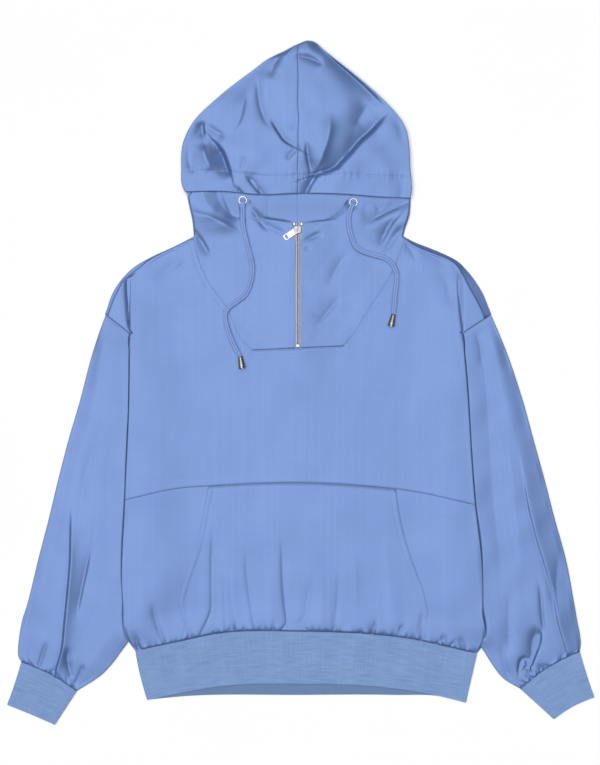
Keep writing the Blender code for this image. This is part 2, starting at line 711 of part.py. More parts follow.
def build_eyelet(name, spot, insert, metal, collection, cutters):
    """A ring pressed through the insert: a lip on top, a barrel and a smaller lip under."""
    over = CLOTH / 2 + SEAM
    barrel, hole, flange = EYELET_BARREL / 2, EYELET_HOLE / 2, EYELET_FLANGE / 2
    profile = ((hole, over + EYELET_LIP), (flange - 0.6, over + EYELET_LIP), (flange, over),
               (barrel, over), (barrel, -over), (flange - 0.8, -over), (flange - 0.8, -over - 0.4),
               (hole, -over - 0.4))
    eyelet = turned(name, profile, metal, collection, sides=20)
    eyelet.location = eyelet_place(spot) * MM
    bm = bmesh.new()
    bmesh.ops.create_cone(bm, cap_ends=True, segments=16, radius1=CLOTH_HOLE / 2 * MM,
                          radius2=CLOTH_HOLE / 2 * MM, depth=12 * MM)
    mesh = bpy.data.meshes.new(name + "_hole")
    bm.to_mesh(mesh)
    bm.free()
    cutter = add_object(name + "_hole", mesh, metal, cutters)
    cutter.location = eyelet.location
    cut_or_join(insert, cutter, "DIFFERENCE")
    return eyelet


def cord_route(spot, route):
    """Middle of a cord: up through its eyelet, over the lip and down along the cloth."""
    base = eyelet_place(spot)
    reach = CLOTH / 2 + CORD_REST + CORD / 2
    lip = CLOTH / 2 + SEAM + EYELET_LIP + SEAM + CORD / 2
    first = Vector((*route[0], 0)) - Vector((*spot, 0))
    over = base + first.normalized() * (EYELET_HOLE / 2 + 1.6)
    points = [base + Vector((0, 0, 0.4)), base + first.normalized() * 0.6 + Vector((0, 0, 2.6)),
              Vector((over.x, over.y, base.z + lip + 0.5))]
    points += [Vector((x, y, front_mid(x, y) + reach)) for x, y in route]
    return smooth(points, 3)


def build_cord(name, points, finish, collection):
    curve = bpy.data.curves.new(name, "CURVE")
    curve.dimensions = "3D"
    curve.bevel_depth = CORD / 2 * MM
    curve.bevel_resolution = 2
    curve.use_fill_caps = True
    spline = curve.splines.new("POLY")
    spline.points.add(len(points) - 1)
    for spline_point, place in zip(spline.points, points):
        spline_point.co = (*(place * MM), 1.0)
    return add_object(name, curve, finish, collection)


def build_cord_end(name, points, metal, collection):
    """A bell on the cord's free end, lying on the cloth with its wide end away from the cord."""
    start, end = CORD_END_RADII
    length = CORD_END_LENGTH
    profile = ((0, length), (end * 0.6, length), (end, length - 1.2), (end * 0.96, length - 4),
               (start + 0.4, 2.2), (start, 0.6), (start * 0.7, 0), (0, 0))
    piece = turned(name, profile, metal, collection, sides=16)
    way = points[-1] - points[-3]
    way = Vector((way.x, way.y, 0)).normalized() * length + Vector((0, 0, end - CORD / 2 + 2 * SEAM))
    place = points[-1] + way.normalized() * 2 * SEAM
    piece.matrix_world = Matrix.Translation(place * MM) @ way.to_track_quat("Z", "Y").to_matrix().to_4x4()
    return piece


def clear_scene():
    for existing in list(bpy.data.objects):
        bpy.data.objects.remove(existing, do_unlink=True)


def main():
    clear_scene()
    jacket = bpy.data.collections.new("half_zip_track_jacket")
    cutters = bpy.data.collections.new("cutters")
    for collection in (jacket, cutters):
        bpy.context.scene.collection.children.link(collection)

    satin = finish_material("Blue satin", (0.227, 0.352, 0.701), 0.45)
    rib = finish_material("Blue rib knit", (0.202, 0.328, 0.624), 0.85)
    tape = finish_material("Zip tape", (0.62, 0.63, 0.66), 0.8)
    nickel = finish_material("Nickel", (0.62, 0.62, 0.6), 0.3, metallic=1.0)
    cord = finish_material("Blue satin cord", (0.24, 0.37, 0.72), 0.45)

    build_back(satin, jacket)
    build_front_upper(satin, jacket)
    build_front_lower(satin, jacket)
    build_pocket(satin, jacket)
    for side, table, foot in ((-1, LEFT_SLEEVE, LEFT_CUFF_FOOT), (1, RIGHT_SLEEVE, RIGHT_CUFF_FOOT)):
        build_sleeve(side, table, satin, jacket)
        build_cuff(side, table, foot, rib, jacket)
    build_hem_band(rib, jacket)
    build_zip(nickel, tape, jacket)
    build_slider(nickel, jacket, cutters)
    build_tab(nickel, jacket, cutters)
    laced = ((-1, "left", EYELET_LEFT, LEFT_CORD_ROUTE), (1, "right", EYELET_RIGHT, RIGHT_CORD_ROUTE))
    for side, name, spot, route in laced:
        build_hood(side, satin, jacket)
        insert = build_neck_insert(side, satin, jacket)
        build_eyelet(f"eyelet_{name}", spot, insert, nickel, jacket, cutters)
        points = cord_route(spot, route)
        build_cord(f"cord_{name}", points, cord, jacket)
        build_cord_end(f"cord_end_{name}", points, nickel, jacket)
    for cutter in cutters.objects:
        cutter.hide_render = True
        cutter.display_type = "WIRE"


main()
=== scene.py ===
"""Looks for a hooded half-zip track jacket that lies flat on its back with its front up.

Lengths are in millimetres until a mesh is made: X across the garment, Y from the hem band to the
hood, Z up from the table. Folds are marked on a grid of 1.45 mm squares, counted across and down
from the upper left corner of the laying table.
"""

import logging
import math
from dataclasses import dataclass, field
from enum import Enum
from typing import Callable, Iterable, Optional, Sequence, Union

import bmesh
import bpy
import numpy as np
from mathutils import Matrix, Vector
from mathutils.bvhtree import BVHTree

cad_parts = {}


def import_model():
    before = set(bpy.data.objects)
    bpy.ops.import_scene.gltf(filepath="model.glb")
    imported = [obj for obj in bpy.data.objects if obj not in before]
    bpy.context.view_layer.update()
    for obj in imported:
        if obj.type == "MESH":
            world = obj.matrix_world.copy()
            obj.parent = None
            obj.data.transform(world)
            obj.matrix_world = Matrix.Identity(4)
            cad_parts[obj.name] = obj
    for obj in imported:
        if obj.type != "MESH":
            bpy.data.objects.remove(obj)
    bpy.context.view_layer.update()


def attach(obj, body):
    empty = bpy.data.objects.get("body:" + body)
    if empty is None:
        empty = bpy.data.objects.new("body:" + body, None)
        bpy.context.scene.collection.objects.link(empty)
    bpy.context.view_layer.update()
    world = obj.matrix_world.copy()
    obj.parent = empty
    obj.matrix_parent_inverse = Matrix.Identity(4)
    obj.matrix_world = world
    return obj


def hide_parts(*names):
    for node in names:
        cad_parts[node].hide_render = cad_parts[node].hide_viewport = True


LOG = logging.getLogger("jacket")
MM = 0.001
SQUARE = 1.45
GRID_MIDDLE = (300.0, 382.0)
SEAM = 0.06
LAY = 0.4
WALL = 0.7
RIB_WALL = 1.8
OFF_TABLE = 0.05
MERGED = 0.00002
CENTRE = -3.0
HALF_TURN = np.linspace(-math.pi / 2, math.pi / 2, 9)[1:-1]

Rows = tuple[tuple[float, ...], ...]
Grid = np.ndarray
Object = bpy.types.Object
Material = bpy.types.Material
Colour = tuple[float, float, float]
Line = Callable[[Grid], Grid]


class Side(Enum):
    """The two sides of the garment as seen from the front."""

    LEFT = -1
    RIGHT = 1

    @property
    def word(self) -> str:
        """The side's name in the names of pieces."""
        return self.name.lower()


class Slot(Enum):
    """Material slots that the finishes belong to."""

    SATIN = "satin"
    RIB = "rib"
    TAPE = "tape"
    NICKEL = "nickel"
    CORD = "cord"


# Numbers and lines


def mix(a: Grid, b: Grid, share: Grid) -> Grid:
    """The value at a share of the way from a to b."""
    return a + (b - a) * share


def ease(value: Grid, start: float, end: float) -> Grid:
    """A smooth step: 0 at start, 1 at end and level at both."""
    t = np.clip((value - start) / (end - start), 0.0, 1.0)
    return t * t * (3 - 2 * t)


def swell(distance: Grid, flat: float, reach: float) -> Grid:
    """1 out to flat on both sides of 0, easing down to 0 at reach."""
    return ease(np.abs(distance), reach, flat)


def hump(distance: Grid, width: float) -> Grid:
    """A rounded bump: 1 at distance 0, and 0.37 at the width on both sides."""
    return np.exp(-((distance / width) ** 2))


def joined(*axes: Grid) -> Grid:
    """Points made of their coordinates, which are spread to one shape."""
    return np.stack(np.broadcast_arrays(*axes), axis=-1)


def unit(ways: Grid) -> Grid:
    """The same ways with a length of 1."""
    return ways / np.linalg.norm(ways, axis=-1, keepdims=True)


def rolled(low: Grid, high: Grid, out: Grid, turns: Grid) -> Grid:
    """Points round a rolled edge.

    Args:
        low: Points at the foot of the roll, one row each.
        high: Points at its top.
        out: How far it stands out, as a vector for each point.
        turns: Angles of the new points, from -pi/2 at the foot to pi/2 at the top.

    Returns:
        Rows of points, with one column for each angle.
    """
    share = 0.5 + 0.5 * np.sin(turns)[:, None]
    return mix(low[:, None], high[:, None], share) + out[:, None] * np.cos(turns)[:, None]


def smooth_line(points: Grid, step: float) -> Grid:
    """Draws a Catmull-Rom curve through points.

    Args:
        points: One row for each point.
        step: Greatest length between two points of the result.

    Returns:
        The points of the curve, one row each.
    """
    points = np.asarray(points, float)
    if len(points) < 3:
        count = max(2, int(np.linalg.norm(points[-1] - points[0]) / step) + 1)
        return np.linspace(points[0], points[-1], count)
    ends = np.vstack([2 * points[0] - points[1], points, 2 * points[-1] - points[-2]])
    found = []
    for a, b, c, d in zip(ends, ends[1:], ends[2:], ends[3:]):
        count = max(1, math.ceil(np.linalg.norm(c - b) / step))
        t = (np.arange(count) / count)[:, None]
        bend = (2 * a - 5 * b + 4 * c - d) * t**2 + (3 * b - a - 3 * c + d) * t**3
        found.append(b + ((c - a) * t + bend) / 2)
    return np.vstack([*found, points[-1:]])


def along(points: Grid) -> Grid:
    """The length of a line up to each of its points."""
    steps = np.linalg.norm(np.diff(points, axis=0), axis=1)
    return np.concatenate([[0.0], np.cumsum(steps)])


def marked(points: Rows) -> Grid:
    """Points of the marking grid."""
    grid = np.asarray(points, float)
    return (grid - GRID_MIDDLE) * (SQUARE, -SQUARE)


class Trace:
    """A line on the garment, kept as a short table with one value for each place."""

    def __init__(self, rows: Rows, corners: Sequence[float] = ()) -> None:
        """Rounds the line between its rows, but not at its corners.

        Args:
            rows: A place and the value there, in any order.
            corners: Places where the line turns sharply.
        """
        table = np.array(sorted(rows), float)
        cuts = [0, *[i for i in range(1, len(table) - 1) if table[i, 0] in corners], len(table) - 1]
        places, values = [], []
        for start, end in zip(cuts, cuts[1:]):
            p, v = table[start:end + 1, 0], table[start:end + 1, 1]
            slope = np.gradient(v, p)
            for i in range(len(p) - 1):
                t = np.linspace(0, 1, 12, endpoint=False)
                gap = p[i + 1] - p[i]
                value = (v[i] * (1 + 2 * t) * (1 - t) ** 2 + slope[i] * gap * t * (1 - t) ** 2
                         + v[i + 1] * t * t * (3 - 2 * t) + slope[i + 1] * gap * t * t * (t - 1))
                places.append(p[i] + gap * t)
                values.append(value)
        self.places = np.concatenate([*places, table[-1:, 0]])
        self.values = np.concatenate([*values, table[-1:, 1]])

    def at(self, place: Grid) -> Grid:
        """The line's value at any place."""
        return np.interp(place, self.places, self.values)


def settled(line: Trace, y: Grid, upper: Line, lower: Line, shares: Grid) -> tuple[Grid, Grid]:
    """Where rows between two curved seams meet a line that is known by Y.

    Args:
        line: The line.
        y: A first guess of each row's Y there.
        upper: Y of the seam above, by X.
        lower: Y of the seam below.
        shares: Where the rows lie between the seams.

    Returns:
        X and Y of the rows on the line.
    """
    for _ in range(4):
        x = line.at(y)
        y = mix(upper(x), lower(x), shares)
    return x, y


def steps(length: float, cell: float, close_start: bool = False, close_end: bool = False) -> Grid:
    """Shares of a length for the lines of a mesh, closer together beside a seam or fold.

    Args:
        length: The length.
        cell: The usual distance between two lines.
        close_start: Whether the lines lie closer at the start.
        close_end: Whether they do at the end.

    Returns:
        Shares from 0 to 1.
    """
    near = np.array([0.7, 1.5, 2.5, 4.0])
    marks = [0.0, length]
    lines = np.linspace(0, length, max(2, round(length / cell)) + 1)[1:-1]
    low = near[-1] + cell / 2 if close_start else 0.0
    high = length - near[-1] - cell / 2 if close_end else length
    marks += [m for m in lines if low < m < high]
    marks += list(near) if close_start else []
    marks += list(length - near) if close_end else []
    return np.array(sorted(marks)) / length


# Folds

DEPTH = 1.25


@dataclass(frozen=True)
class Fold:
    """A crease, roll or hollow in the cloth along a line on the marking grid.

    Attributes:
        line: Points across and down the grid.
        height: Rise at the middle, below 0 for a valley.
        left: How far it reaches to the left of the line's way.
        right: How far it reaches to the right.
        start: Height at the first point, as a share of the middle's.
        end: The same at the last point.
    """

    line: Rows
    height: float
    left: float
    right: float
    start: float = 0.0
    end: float = 0.0

    def rise(self, x: Grid, y: Grid) -> Grid:
        """How far the fold lifts the cloth at each place."""
        points = smooth_line(marked(self.line), 4.0)
        reach = 2.6 * max(self.left, self.right)
        low, high = points.min(0) - reach, points.max(0) + reach
        near = (x > low[0]) & (x < high[0]) & (y > low[1]) & (y < high[1])
        total = np.zeros_like(x)
        px, py = x[near], y[near]
        if not len(px):
            return total
        length = along(points)
        best = np.full(px.shape, np.inf)
        place, cross = np.zeros_like(px), np.zeros_like(px)
        for i, (a, b) in enumerate(zip(points, points[1:])):
            d = b - a
            t = np.clip(((px - a[0]) * d[0] + (py - a[1]) * d[1]) / (d @ d), 0, 1)
            ox, oy = px - a[0] - t * d[0], py - a[1] - t * d[1]
            far = ox * ox + oy * oy
            closer = far < best
            best = np.where(closer, far, best)
            place = np.where(closer, mix(length[i], length[i + 1], t), place)
            cross = np.where(closer, d[0] * oy - d[1] * ox, cross)
        share = place / length[-1]
        width = np.where(cross > 0, self.left, self.right)
        profile = np.exp(-((np.sqrt(best + 0.25) / width) ** 1.2))
        fade = mix(self.start, 1, ease(share, 0, 0.35)) * mix(self.end, 1, ease(share, 1, 0.65))
        total[near] = self.height * profile * fade
        return total


def lap(line: Rows, height: float, reach: float, start: float = 0.0,
        end: float = 0.9) -> tuple[Fold, Fold]:
    """A sharp downward crease and the facet that falls away from it to the right.

    Args:
        line: Points across and down the grid.
        height: From the crease up to the facet's upper edge.
        reach: Width of the facet.
        start: Height at the first point, as a share of the middle's.
        end: The same at the last point.

    Returns:
        The crease and the facet.
    """
    beside = tuple((x + 1.3, y) for x, y in line)
    return Fold(line, -0.35 * height, 1.5, 2.5, start, end), Fold(beside, height, reach, 1.6, start, end)


def folds_rise(folds: Iterable[Fold], x: Grid, y: Grid) -> Grid:
    """The height of several folds together at each place."""
    total = np.zeros_like(x)
    for fold in folds:
        total += fold.rise(x, y)
    return total * DEPTH


@dataclass(frozen=True)
class Gathering:
    """The small uneven folds that a drawn-in seam pulls into the cloth.

    Attributes:
        start: Where along the seam they begin.
        end: Where they end.
        pitch: Mean distance between two folds.
        reach: How far the longer ones run from the seam.
        height: Height of the stronger ones.
        seed: Settles their places.
    """

    start: float
    end: float
    pitch: float
    reach: float
    height: float
    seed: int

    def rise(self, place: Grid, distance: Grid) -> Grid:
        """Lift of the cloth.

        Args:
            place: How far along the seam each point is.
            distance: How far from the seam it is.

        Returns:
            The lift at each point.
        """
        dice = np.random.default_rng(self.seed)
        place, distance = np.broadcast_arrays(place, distance)
        total = np.zeros(place.shape)
        spot = self.start
        while spot < self.end:
            spot += self.pitch * dice.uniform(0.45, 1.6)
            width = self.pitch * dice.uniform(0.12, 0.32)
            reach = self.reach * dice.uniform(0.35, 1.0) ** 1.3
            lean = dice.normal(0.0, 0.3)
            height = self.height * dice.uniform(0.5, 1.0) * dice.choice([0.6, -1.0, -1.0])
            near = (np.abs(place - spot) < 3 * self.pitch + 0.6 * reach) & (distance < 2.6 * reach)
            out = np.maximum(distance[near], 0.0)
            aside = (place[near] - spot - lean * out) / (width * (1 + 1.2 * out / reach))
            total[near] += height * np.exp(-np.abs(aside) ** 1.3) * np.exp(-((out / reach) ** 1.5))
        return total


def unevenness(x: Grid, y: Grid, wave: float, height: float, seed: int) -> Grid:
    """A soft unevenness made of a few waves in mixed directions.

    Args:
        x: Places across.
        y: Places along.
        wave: Usual length of a wave.
        height: Usual height.
        seed: Settles the waves.

    Returns:
        The height at each place.
    """
    dice = np.random.default_rng(seed)
    total = np.zeros_like(x)
    for _ in range(10):
        angle, phase = dice.uniform(0, 2 * math.pi, 2)
        size = 2 * math.pi / (wave * dice.uniform(0.6, 1.8))
        total += np.sin((x * math.cos(angle) + y * math.sin(angle)) * size + phase)
    return total * height / math.sqrt(10)


# Shader maths

Plug = Union[float, "Signal"]


class Signal:
    """A value socket of a shader, with Python's operators."""

    def __init__(self, maker: "Nodes", socket: bpy.types.NodeSocket) -> None:
        """Keeps the socket and the maker that adds its Math nodes."""
        self.maker = maker
        self.socket = socket

    def _math(self, operation: str, *values: Plug) -> "Signal":
        """Adds one Math node.

        Args:
            operation: The node's operation.
            *values: Its inputs.

        Returns:
            The result.
        """
        return self.maker.node("ShaderNodeMath", {"operation": operation}, dict(enumerate(values)))

    def __add__(self, other: Plug) -> "Signal":
        """The sum."""
        return self._math("ADD", self, other)

    __radd__ = __add__

    def __mul__(self, other: Plug) -> "Signal":
        """The product."""
        return self._math("MULTIPLY", self, other)

    __rmul__ = __mul__

    def __sub__(self, other: Plug) -> "Signal":
        """The difference."""
        return self._math("SUBTRACT", self, other)

    def __rsub__(self, other: Plug) -> "Signal":
        """The difference from a number."""
        return self._math("SUBTRACT", other, self)

    def __pow__(self, other: Plug) -> "Signal":
        """The power."""
        return self._math("POWER", self, other)

    def sine(self) -> "Signal":
        """The sine."""
        return self._math("SINE", self)

    def size(self) -> "Signal":
        """The value without its sign."""
        return self._math("ABSOLUTE", self)

    def limited(self) -> "Signal":
        """The value kept between 0 and 1."""
        return self._math("MINIMUM", self._math("MAXIMUM", self, 0.0), 1.0)


class Nodes:
    """Builds the nodes of one material."""

    def __init__(self, name: str) -> None:
        """Starts a material that holds a Principled shader only."""
        self.material = bpy.data.materials.new(name)
        self.material.use_nodes = True
        self.tree = self.material.node_tree
        self.shader = self.tree.nodes["Principled BSDF"]

    def node(self, kind: str, settings: Optional[dict] = None, values: Optional[dict] = None,
             output: Union[int, str] = 0) -> Signal:
        """Adds a node of any type.

        Args:
            kind: The node's type.
            settings: Its properties.
            values: Numbers, colours or signals for its inputs, by name or number.
            output: The output that is returned.

        Returns:
            The chosen output.
        """
        made = self.tree.nodes.new(kind)
        for key, value in (settings or {}).items():
            setattr(made, key, value)
        for key, value in (values or {}).items():
            self.feed(made.inputs[key], value)
        return Signal(self, made.outputs[output])

    def feed(self, socket: bpy.types.NodeSocket, value: Union[Plug, Sequence[float]]) -> None:
        """Links a signal to an input, or sets the input to a number or colour."""
        if isinstance(value, Signal):
            self.tree.links.new(value.socket, socket)
        elif socket.type == "RGBA":
            socket.default_value = (*value, 1.0)
        else:
            socket.default_value = value

    def noise(self, place: Signal, scale: float, detail: float = 2.0,
              stretch: Sequence[float] = (1, 1, 1)) -> Signal:
        """Soft noise from 0 to 1, drawn out along an axis by a stretch below 1."""
        mapped = self.node("ShaderNodeMapping", values={"Vector": place, "Scale": stretch})
        return self.node("ShaderNodeTexNoise", values={"Vector": mapped, "Scale": scale, "Detail": detail})

    def blend(self, share: Plug, low: Union[Signal, Colour], high: Union[Signal, Colour]) -> Signal:
        """A colour between two."""
        return self.node("ShaderNodeMix", {"data_type": "RGBA"}, {0: share, 6: low, 7: high}, 2)

    def tones(self, share: Plug, colour: Colour, dark: float, light: float) -> Signal:
        """A tone of a colour, between a darker and a lighter part of it."""
        return self.blend(share, *(tuple(min(1.0, c * part) for c in colour) for part in (dark, light)))

    def parts(self, vector: Signal) -> list[Signal]:
        """The first two parts of a vector."""
        return [self.node("ShaderNodeSeparateXYZ", values={0: vector}, output=k) for k in (0, 1)]

    def bump(self, height: Signal, distance: float, strength: float = 1.0) -> None:
        """Lets a height in the range of 0 to 1 shape the surface, distance metres high."""
        values = {"Strength": strength, "Distance": distance, "Height": height}
        self.feed(self.shader.inputs["Normal"], self.node("ShaderNodeBump", values=values))

    def surface(self, colour: Signal, roughness: Signal) -> None:
        """Sets the colour, and the roughness kept between 0 and 1."""
        self.feed(self.shader.inputs["Base Color"], colour)
        self.feed(self.shader.inputs["Roughness"], roughness.limited())

    def constants(self, **values: float) -> None:
        """Sets inputs of the shader that are the same all over."""
        for key, value in values.items():
            self.shader.inputs[key.replace("_", " ")].default_value = value


@dataclass(frozen=True)
class Satin:
    """Soft polyester satin: fine floats across, faint uneven threads both ways, a low sheen."""

    name: str = "Periwinkle satin"
    colour: Colour = (0.1025, 0.1825, 0.404)
    roughness: float = 0.50

    def make(self) -> Material:
        """Builds the material."""
        n = Nodes(self.name)
        weave = n.node("ShaderNodeUVMap", {"uv_map": "Weave"})
        across = n.noise(weave, 420.0, 2.0, (0.05, 1, 1))
        down = n.noise(weave, 210.0, 3.0, (1, 0.02, 1))
        cloud = n.noise(weave, 14.0, 3.0)
        tone = (0.5 + (across - 0.5) * 0.5 + (down - 0.5) * 1.0 + (cloud - 0.5) * 0.8).limited()
        n.surface(n.tones(tone, self.colour, 0.93, 1.07), self.roughness - 0.05 + 0.1 * cloud)
        u, v = n.parts(weave)
        floats = (u * 5200.0 + v * 2600.0).sine() * 0.5 + (v * 7800.0).sine() * 0.5
        n.bump(floats * 0.35 + across + down, 0.00010, 0.45)
        n.constants(Metallic=0.46, Specular_IOR_Level=0.8)
        return n.material


@dataclass(frozen=True)
class RibKnit:
    """Matt one-by-one rib, its fine ribs along the second direction of the weave map; the grooves between
    ribs and the back layer of a tube are painted darker as shade.
    """

    name: str = "Periwinkle rib knit"
    colour: Colour = (0.186, 0.297, 0.548)
    pitch: float = 0.0021

    def make(self) -> Material:
        """Builds the material."""
        n = Nodes(self.name)
        weave = n.node("ShaderNodeUVMap", {"uv_map": "Weave"})
        u, v = n.parts(weave)
        rib = (u * (math.pi / self.pitch)).sine().size() ** 0.6
        stitch = (v * (2 * math.pi / (self.pitch * 0.6)) + rib * 2.2).sine() * 0.5 + 0.5
        streak = n.noise(weave, 380.0, 3.0, (0.10, 1, 1))
        stripe = n.noise(weave, 300.0, 2.0, (1, 0.05, 1))
        cloud = n.noise(weave, 18.0, 2.0)
        # The rib term makes the grooves between ribs darker: painted shade in the grooves, mixed with the
        # knit's random streaks and clouds.
        tone = (rib * 0.3 + (streak - 0.5) * 1.2 + (stripe - 0.5) * 0.4 + cloud * 0.5).limited()
        # The back layer of a tube, whose weave map starts a metre on, is painted darker: painted shade under
        # the front layer's edge.
        shade_on_back_layer = (v * 2.0 - 1.0).limited()
        shaded_knit_colour = tuple(c * 0.72 for c in self.colour)
        n.surface(n.blend(shade_on_back_layer, n.tones(tone, self.colour, 0.80, 1.24), shaded_knit_colour), 0.86 - 0.08 * streak)
        n.bump(rib * 0.75 + stitch * 0.25, 0.0005, 0.6)
        n.constants(Sheen_Weight=0.25, Sheen_Roughness=0.5, Specular_IOR_Level=0.25)
        return n.material


@dataclass(frozen=True)
class Nickel:
    """Polished nickel with fine wear."""

    name: str = "Polished nickel"
    colour: Colour = (0.38, 0.39, 0.42)
    roughness: float = 0.24

    def make(self) -> Material:
        """Builds the material."""
        n = Nodes(self.name)
        place = n.node("ShaderNodeTexCoord", output="Object")
        wear = n.noise(place, 900.0, 3.0)
        scratch = n.noise(place, 1500.0, 2.0, (1, 0.08, 1))
        n.surface(n.tones(wear, self.colour, 0.86, 1.0), self.roughness - 0.06 + 0.16 * wear)
        n.bump(scratch * 0.5 + wear * 0.5, 0.00003, 0.5)
        n.constants(Metallic=1.0)
        return n.material


@dataclass(frozen=True)
class Woven:
    """A plain woven finish for tape, thread and cord.

    Attributes:
        name: Name of the material.
        colour: Mean colour.
        roughness: Mean roughness.
        pitch: Size of the weave in metres.
        sheen: Weight of the sheen.
    """

    name: str
    colour: Colour
    roughness: float
    pitch: float
    sheen: float = 0.15

    def make(self) -> Material:
        """Builds the material."""
        n = Nodes(self.name)
        weave = n.node("ShaderNodeTexCoord", output="Object")
        u, v = n.parts(weave)
        turn = 2 * math.pi / self.pitch
        twill = ((u + v) * turn).sine() * 0.5 + ((v - u) * turn).sine() * 0.5
        cloud = n.noise(weave, 220.0, 2.0)
        # The twill term makes the weave's low diagonals darker: painted shade in its grooves, mixed with
        # random cloud tone.
        tone = (twill * 0.25 + 0.25 + cloud * 0.5).limited()
        n.surface(n.tones(tone, self.colour, 0.86, 1.12), self.roughness - 0.05 + 0.1 * cloud)
        n.bump(twill, 0.00012, 0.5)
        n.constants(Sheen_Weight=self.sheen, Sheen_Roughness=0.4, Specular_IOR_Level=0.4)
        return n.material


@dataclass(frozen=True)
class TableTop:
    """Plain white laying table."""

    name: str = "White laying table"
    colour: Colour = (0.93, 0.93, 0.93)

    def make(self) -> Material:
        """Builds the material."""
        n = Nodes(self.name)
        grain = n.noise(n.node("ShaderNodeTexCoord", output="Object"), 3.0, 3.0)
        n.feed(n.shader.inputs["Base Color"], n.tones(grain, self.colour, 0.985, 1.0))
        n.constants(Roughness=0.9, Specular_IOR_Level=0.1)
        return n.material


class Wardrobe:
    """Every finish of the garment, each made once."""

    def __init__(self) -> None:
        """Makes the materials."""
        self.satin = Finish(Satin().make(), Slot.SATIN)
        self.rib = Finish(RibKnit().make(), Slot.RIB)
        self.nickel = Finish(Nickel().make(), Slot.NICKEL)
        self.bright = Finish(Nickel("Bright zip metal", (0.36, 0.365, 0.38), 0.3).make(), Slot.NICKEL)
        self.cast = Finish(Nickel("Cast slider metal", (0.25, 0.245, 0.26), 0.36).make(), Slot.NICKEL)
        self.warm = Finish(Nickel("Warm cord metal", (0.40, 0.38, 0.32), 0.38).make(), Slot.NICKEL)
        self.tape = Finish(Woven("Pale zip tape", (0.37, 0.42, 0.60), 0.8, 0.0008).make(), Slot.TAPE)
        self.thread = Finish(Woven("Blue thread", (0.235, 0.365, 0.74), 0.5, 0.0004, 0.3).make(), Slot.SATIN)
        self.cord = Finish(Woven("Satin cord", (0.215, 0.33, 0.68), 0.42, 0.0006, 0.3).make(), Slot.CORD)
        self.table = TableTop().make()


@dataclass(frozen=True)
class Finish:
    """A material and the slot that it belongs to."""

    material: bpy.types.Material
    slot: Slot


# Making cloth


class Lay(Enum):
    """How a piece of cloth lies."""

    LAID = "laid"
    GATHERED = "gathered"
    FOLDED = "folded"


@dataclass(frozen=True)
class Cut:
    """The flat cloth of one piece before it was sewn and laid out.

    Attributes:
        width: Its width in metres; a tube's is that of both its layers.
        length: Its length in metres.
        area: Its area in square metres, where its outline is shaped.
        lay: How it lies.
        under: Pieces that it lies on.
    """

    width: float
    length: float
    area: float
    lay: Lay
    under: tuple[str, ...] = ()

    def declare(self, name: str) -> None:
        list(self.under)


CUTS = {
    "back_cloth": Cut(0.570, 0.602, 0.292, Lay.LAID),
    "front_upper_cloth": Cut(0.560, 0.388, 0.149, Lay.LAID, ("back_cloth",)),
    "front_lower_cloth": Cut(0.530, 0.250, 0.118, Lay.GATHERED, ("back_cloth",)),
    "pocket_cloth": Cut(0.364, 0.231, 0.069, Lay.GATHERED, ("front_lower_cloth",)),
    "sleeve_left_cloth": Cut(0.340, 0.560, 0.125, Lay.GATHERED),
    "sleeve_right_cloth": Cut(0.340, 0.560, 0.125, Lay.GATHERED),
    "cuff_left_knit": Cut(0.170, 0.066, 0.0108, Lay.LAID),
    "cuff_right_knit": Cut(0.175, 0.070, 0.0116, Lay.LAID),
    "hem_band_knit": Cut(0.975, 0.085, 0.078, Lay.LAID),
    "hood_left_cloth": Cut(0.172, 0.500, 0.071, Lay.FOLDED, ("neck_insert_left_cloth",)),
    "hood_right_cloth": Cut(0.165, 0.500, 0.073, Lay.FOLDED, ("neck_insert_right_cloth",)),
    "neck_insert_left_cloth": Cut(0.158, 0.242, 0.027, Lay.LAID, ("back_cloth",)),
    "neck_insert_right_cloth": Cut(0.162, 0.239, 0.027, Lay.LAID, ("back_cloth",)),
    "zip_tape_left_weave": Cut(0.012, 0.185, 0.0022, Lay.LAID, ("neck_insert_left_cloth",)),
    "zip_tape_right_weave": Cut(0.012, 0.185, 0.0022, Lay.LAID, ("neck_insert_right_cloth",)),
}


def add_piece(name: str, mesh: bpy.types.Mesh) -> Object:
    """Adds an object with a mesh to the scene."""
    piece = bpy.data.objects.new(name, mesh)
    bpy.context.scene.collection.objects.link(piece)
    return piece


def dress(piece: Object, finish: Finish, solid: str = "", body: str = "garment") -> Object:
    """Gives a piece its finish and its place in the frame.

    Args:
        piece: The object.
        finish: Its finish.
        solid: The solid of the frame that it stands for, if any.
        body: The body that it moves with.

    Returns:
        The same object.
    """
    piece.data.materials.clear()
    piece.data.materials.append(finish.material)
    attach(piece, body)
    if solid:
        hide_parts(solid)
    LOG.info("%s: %d faces", piece.name, len(piece.data.polygons))
    return piece


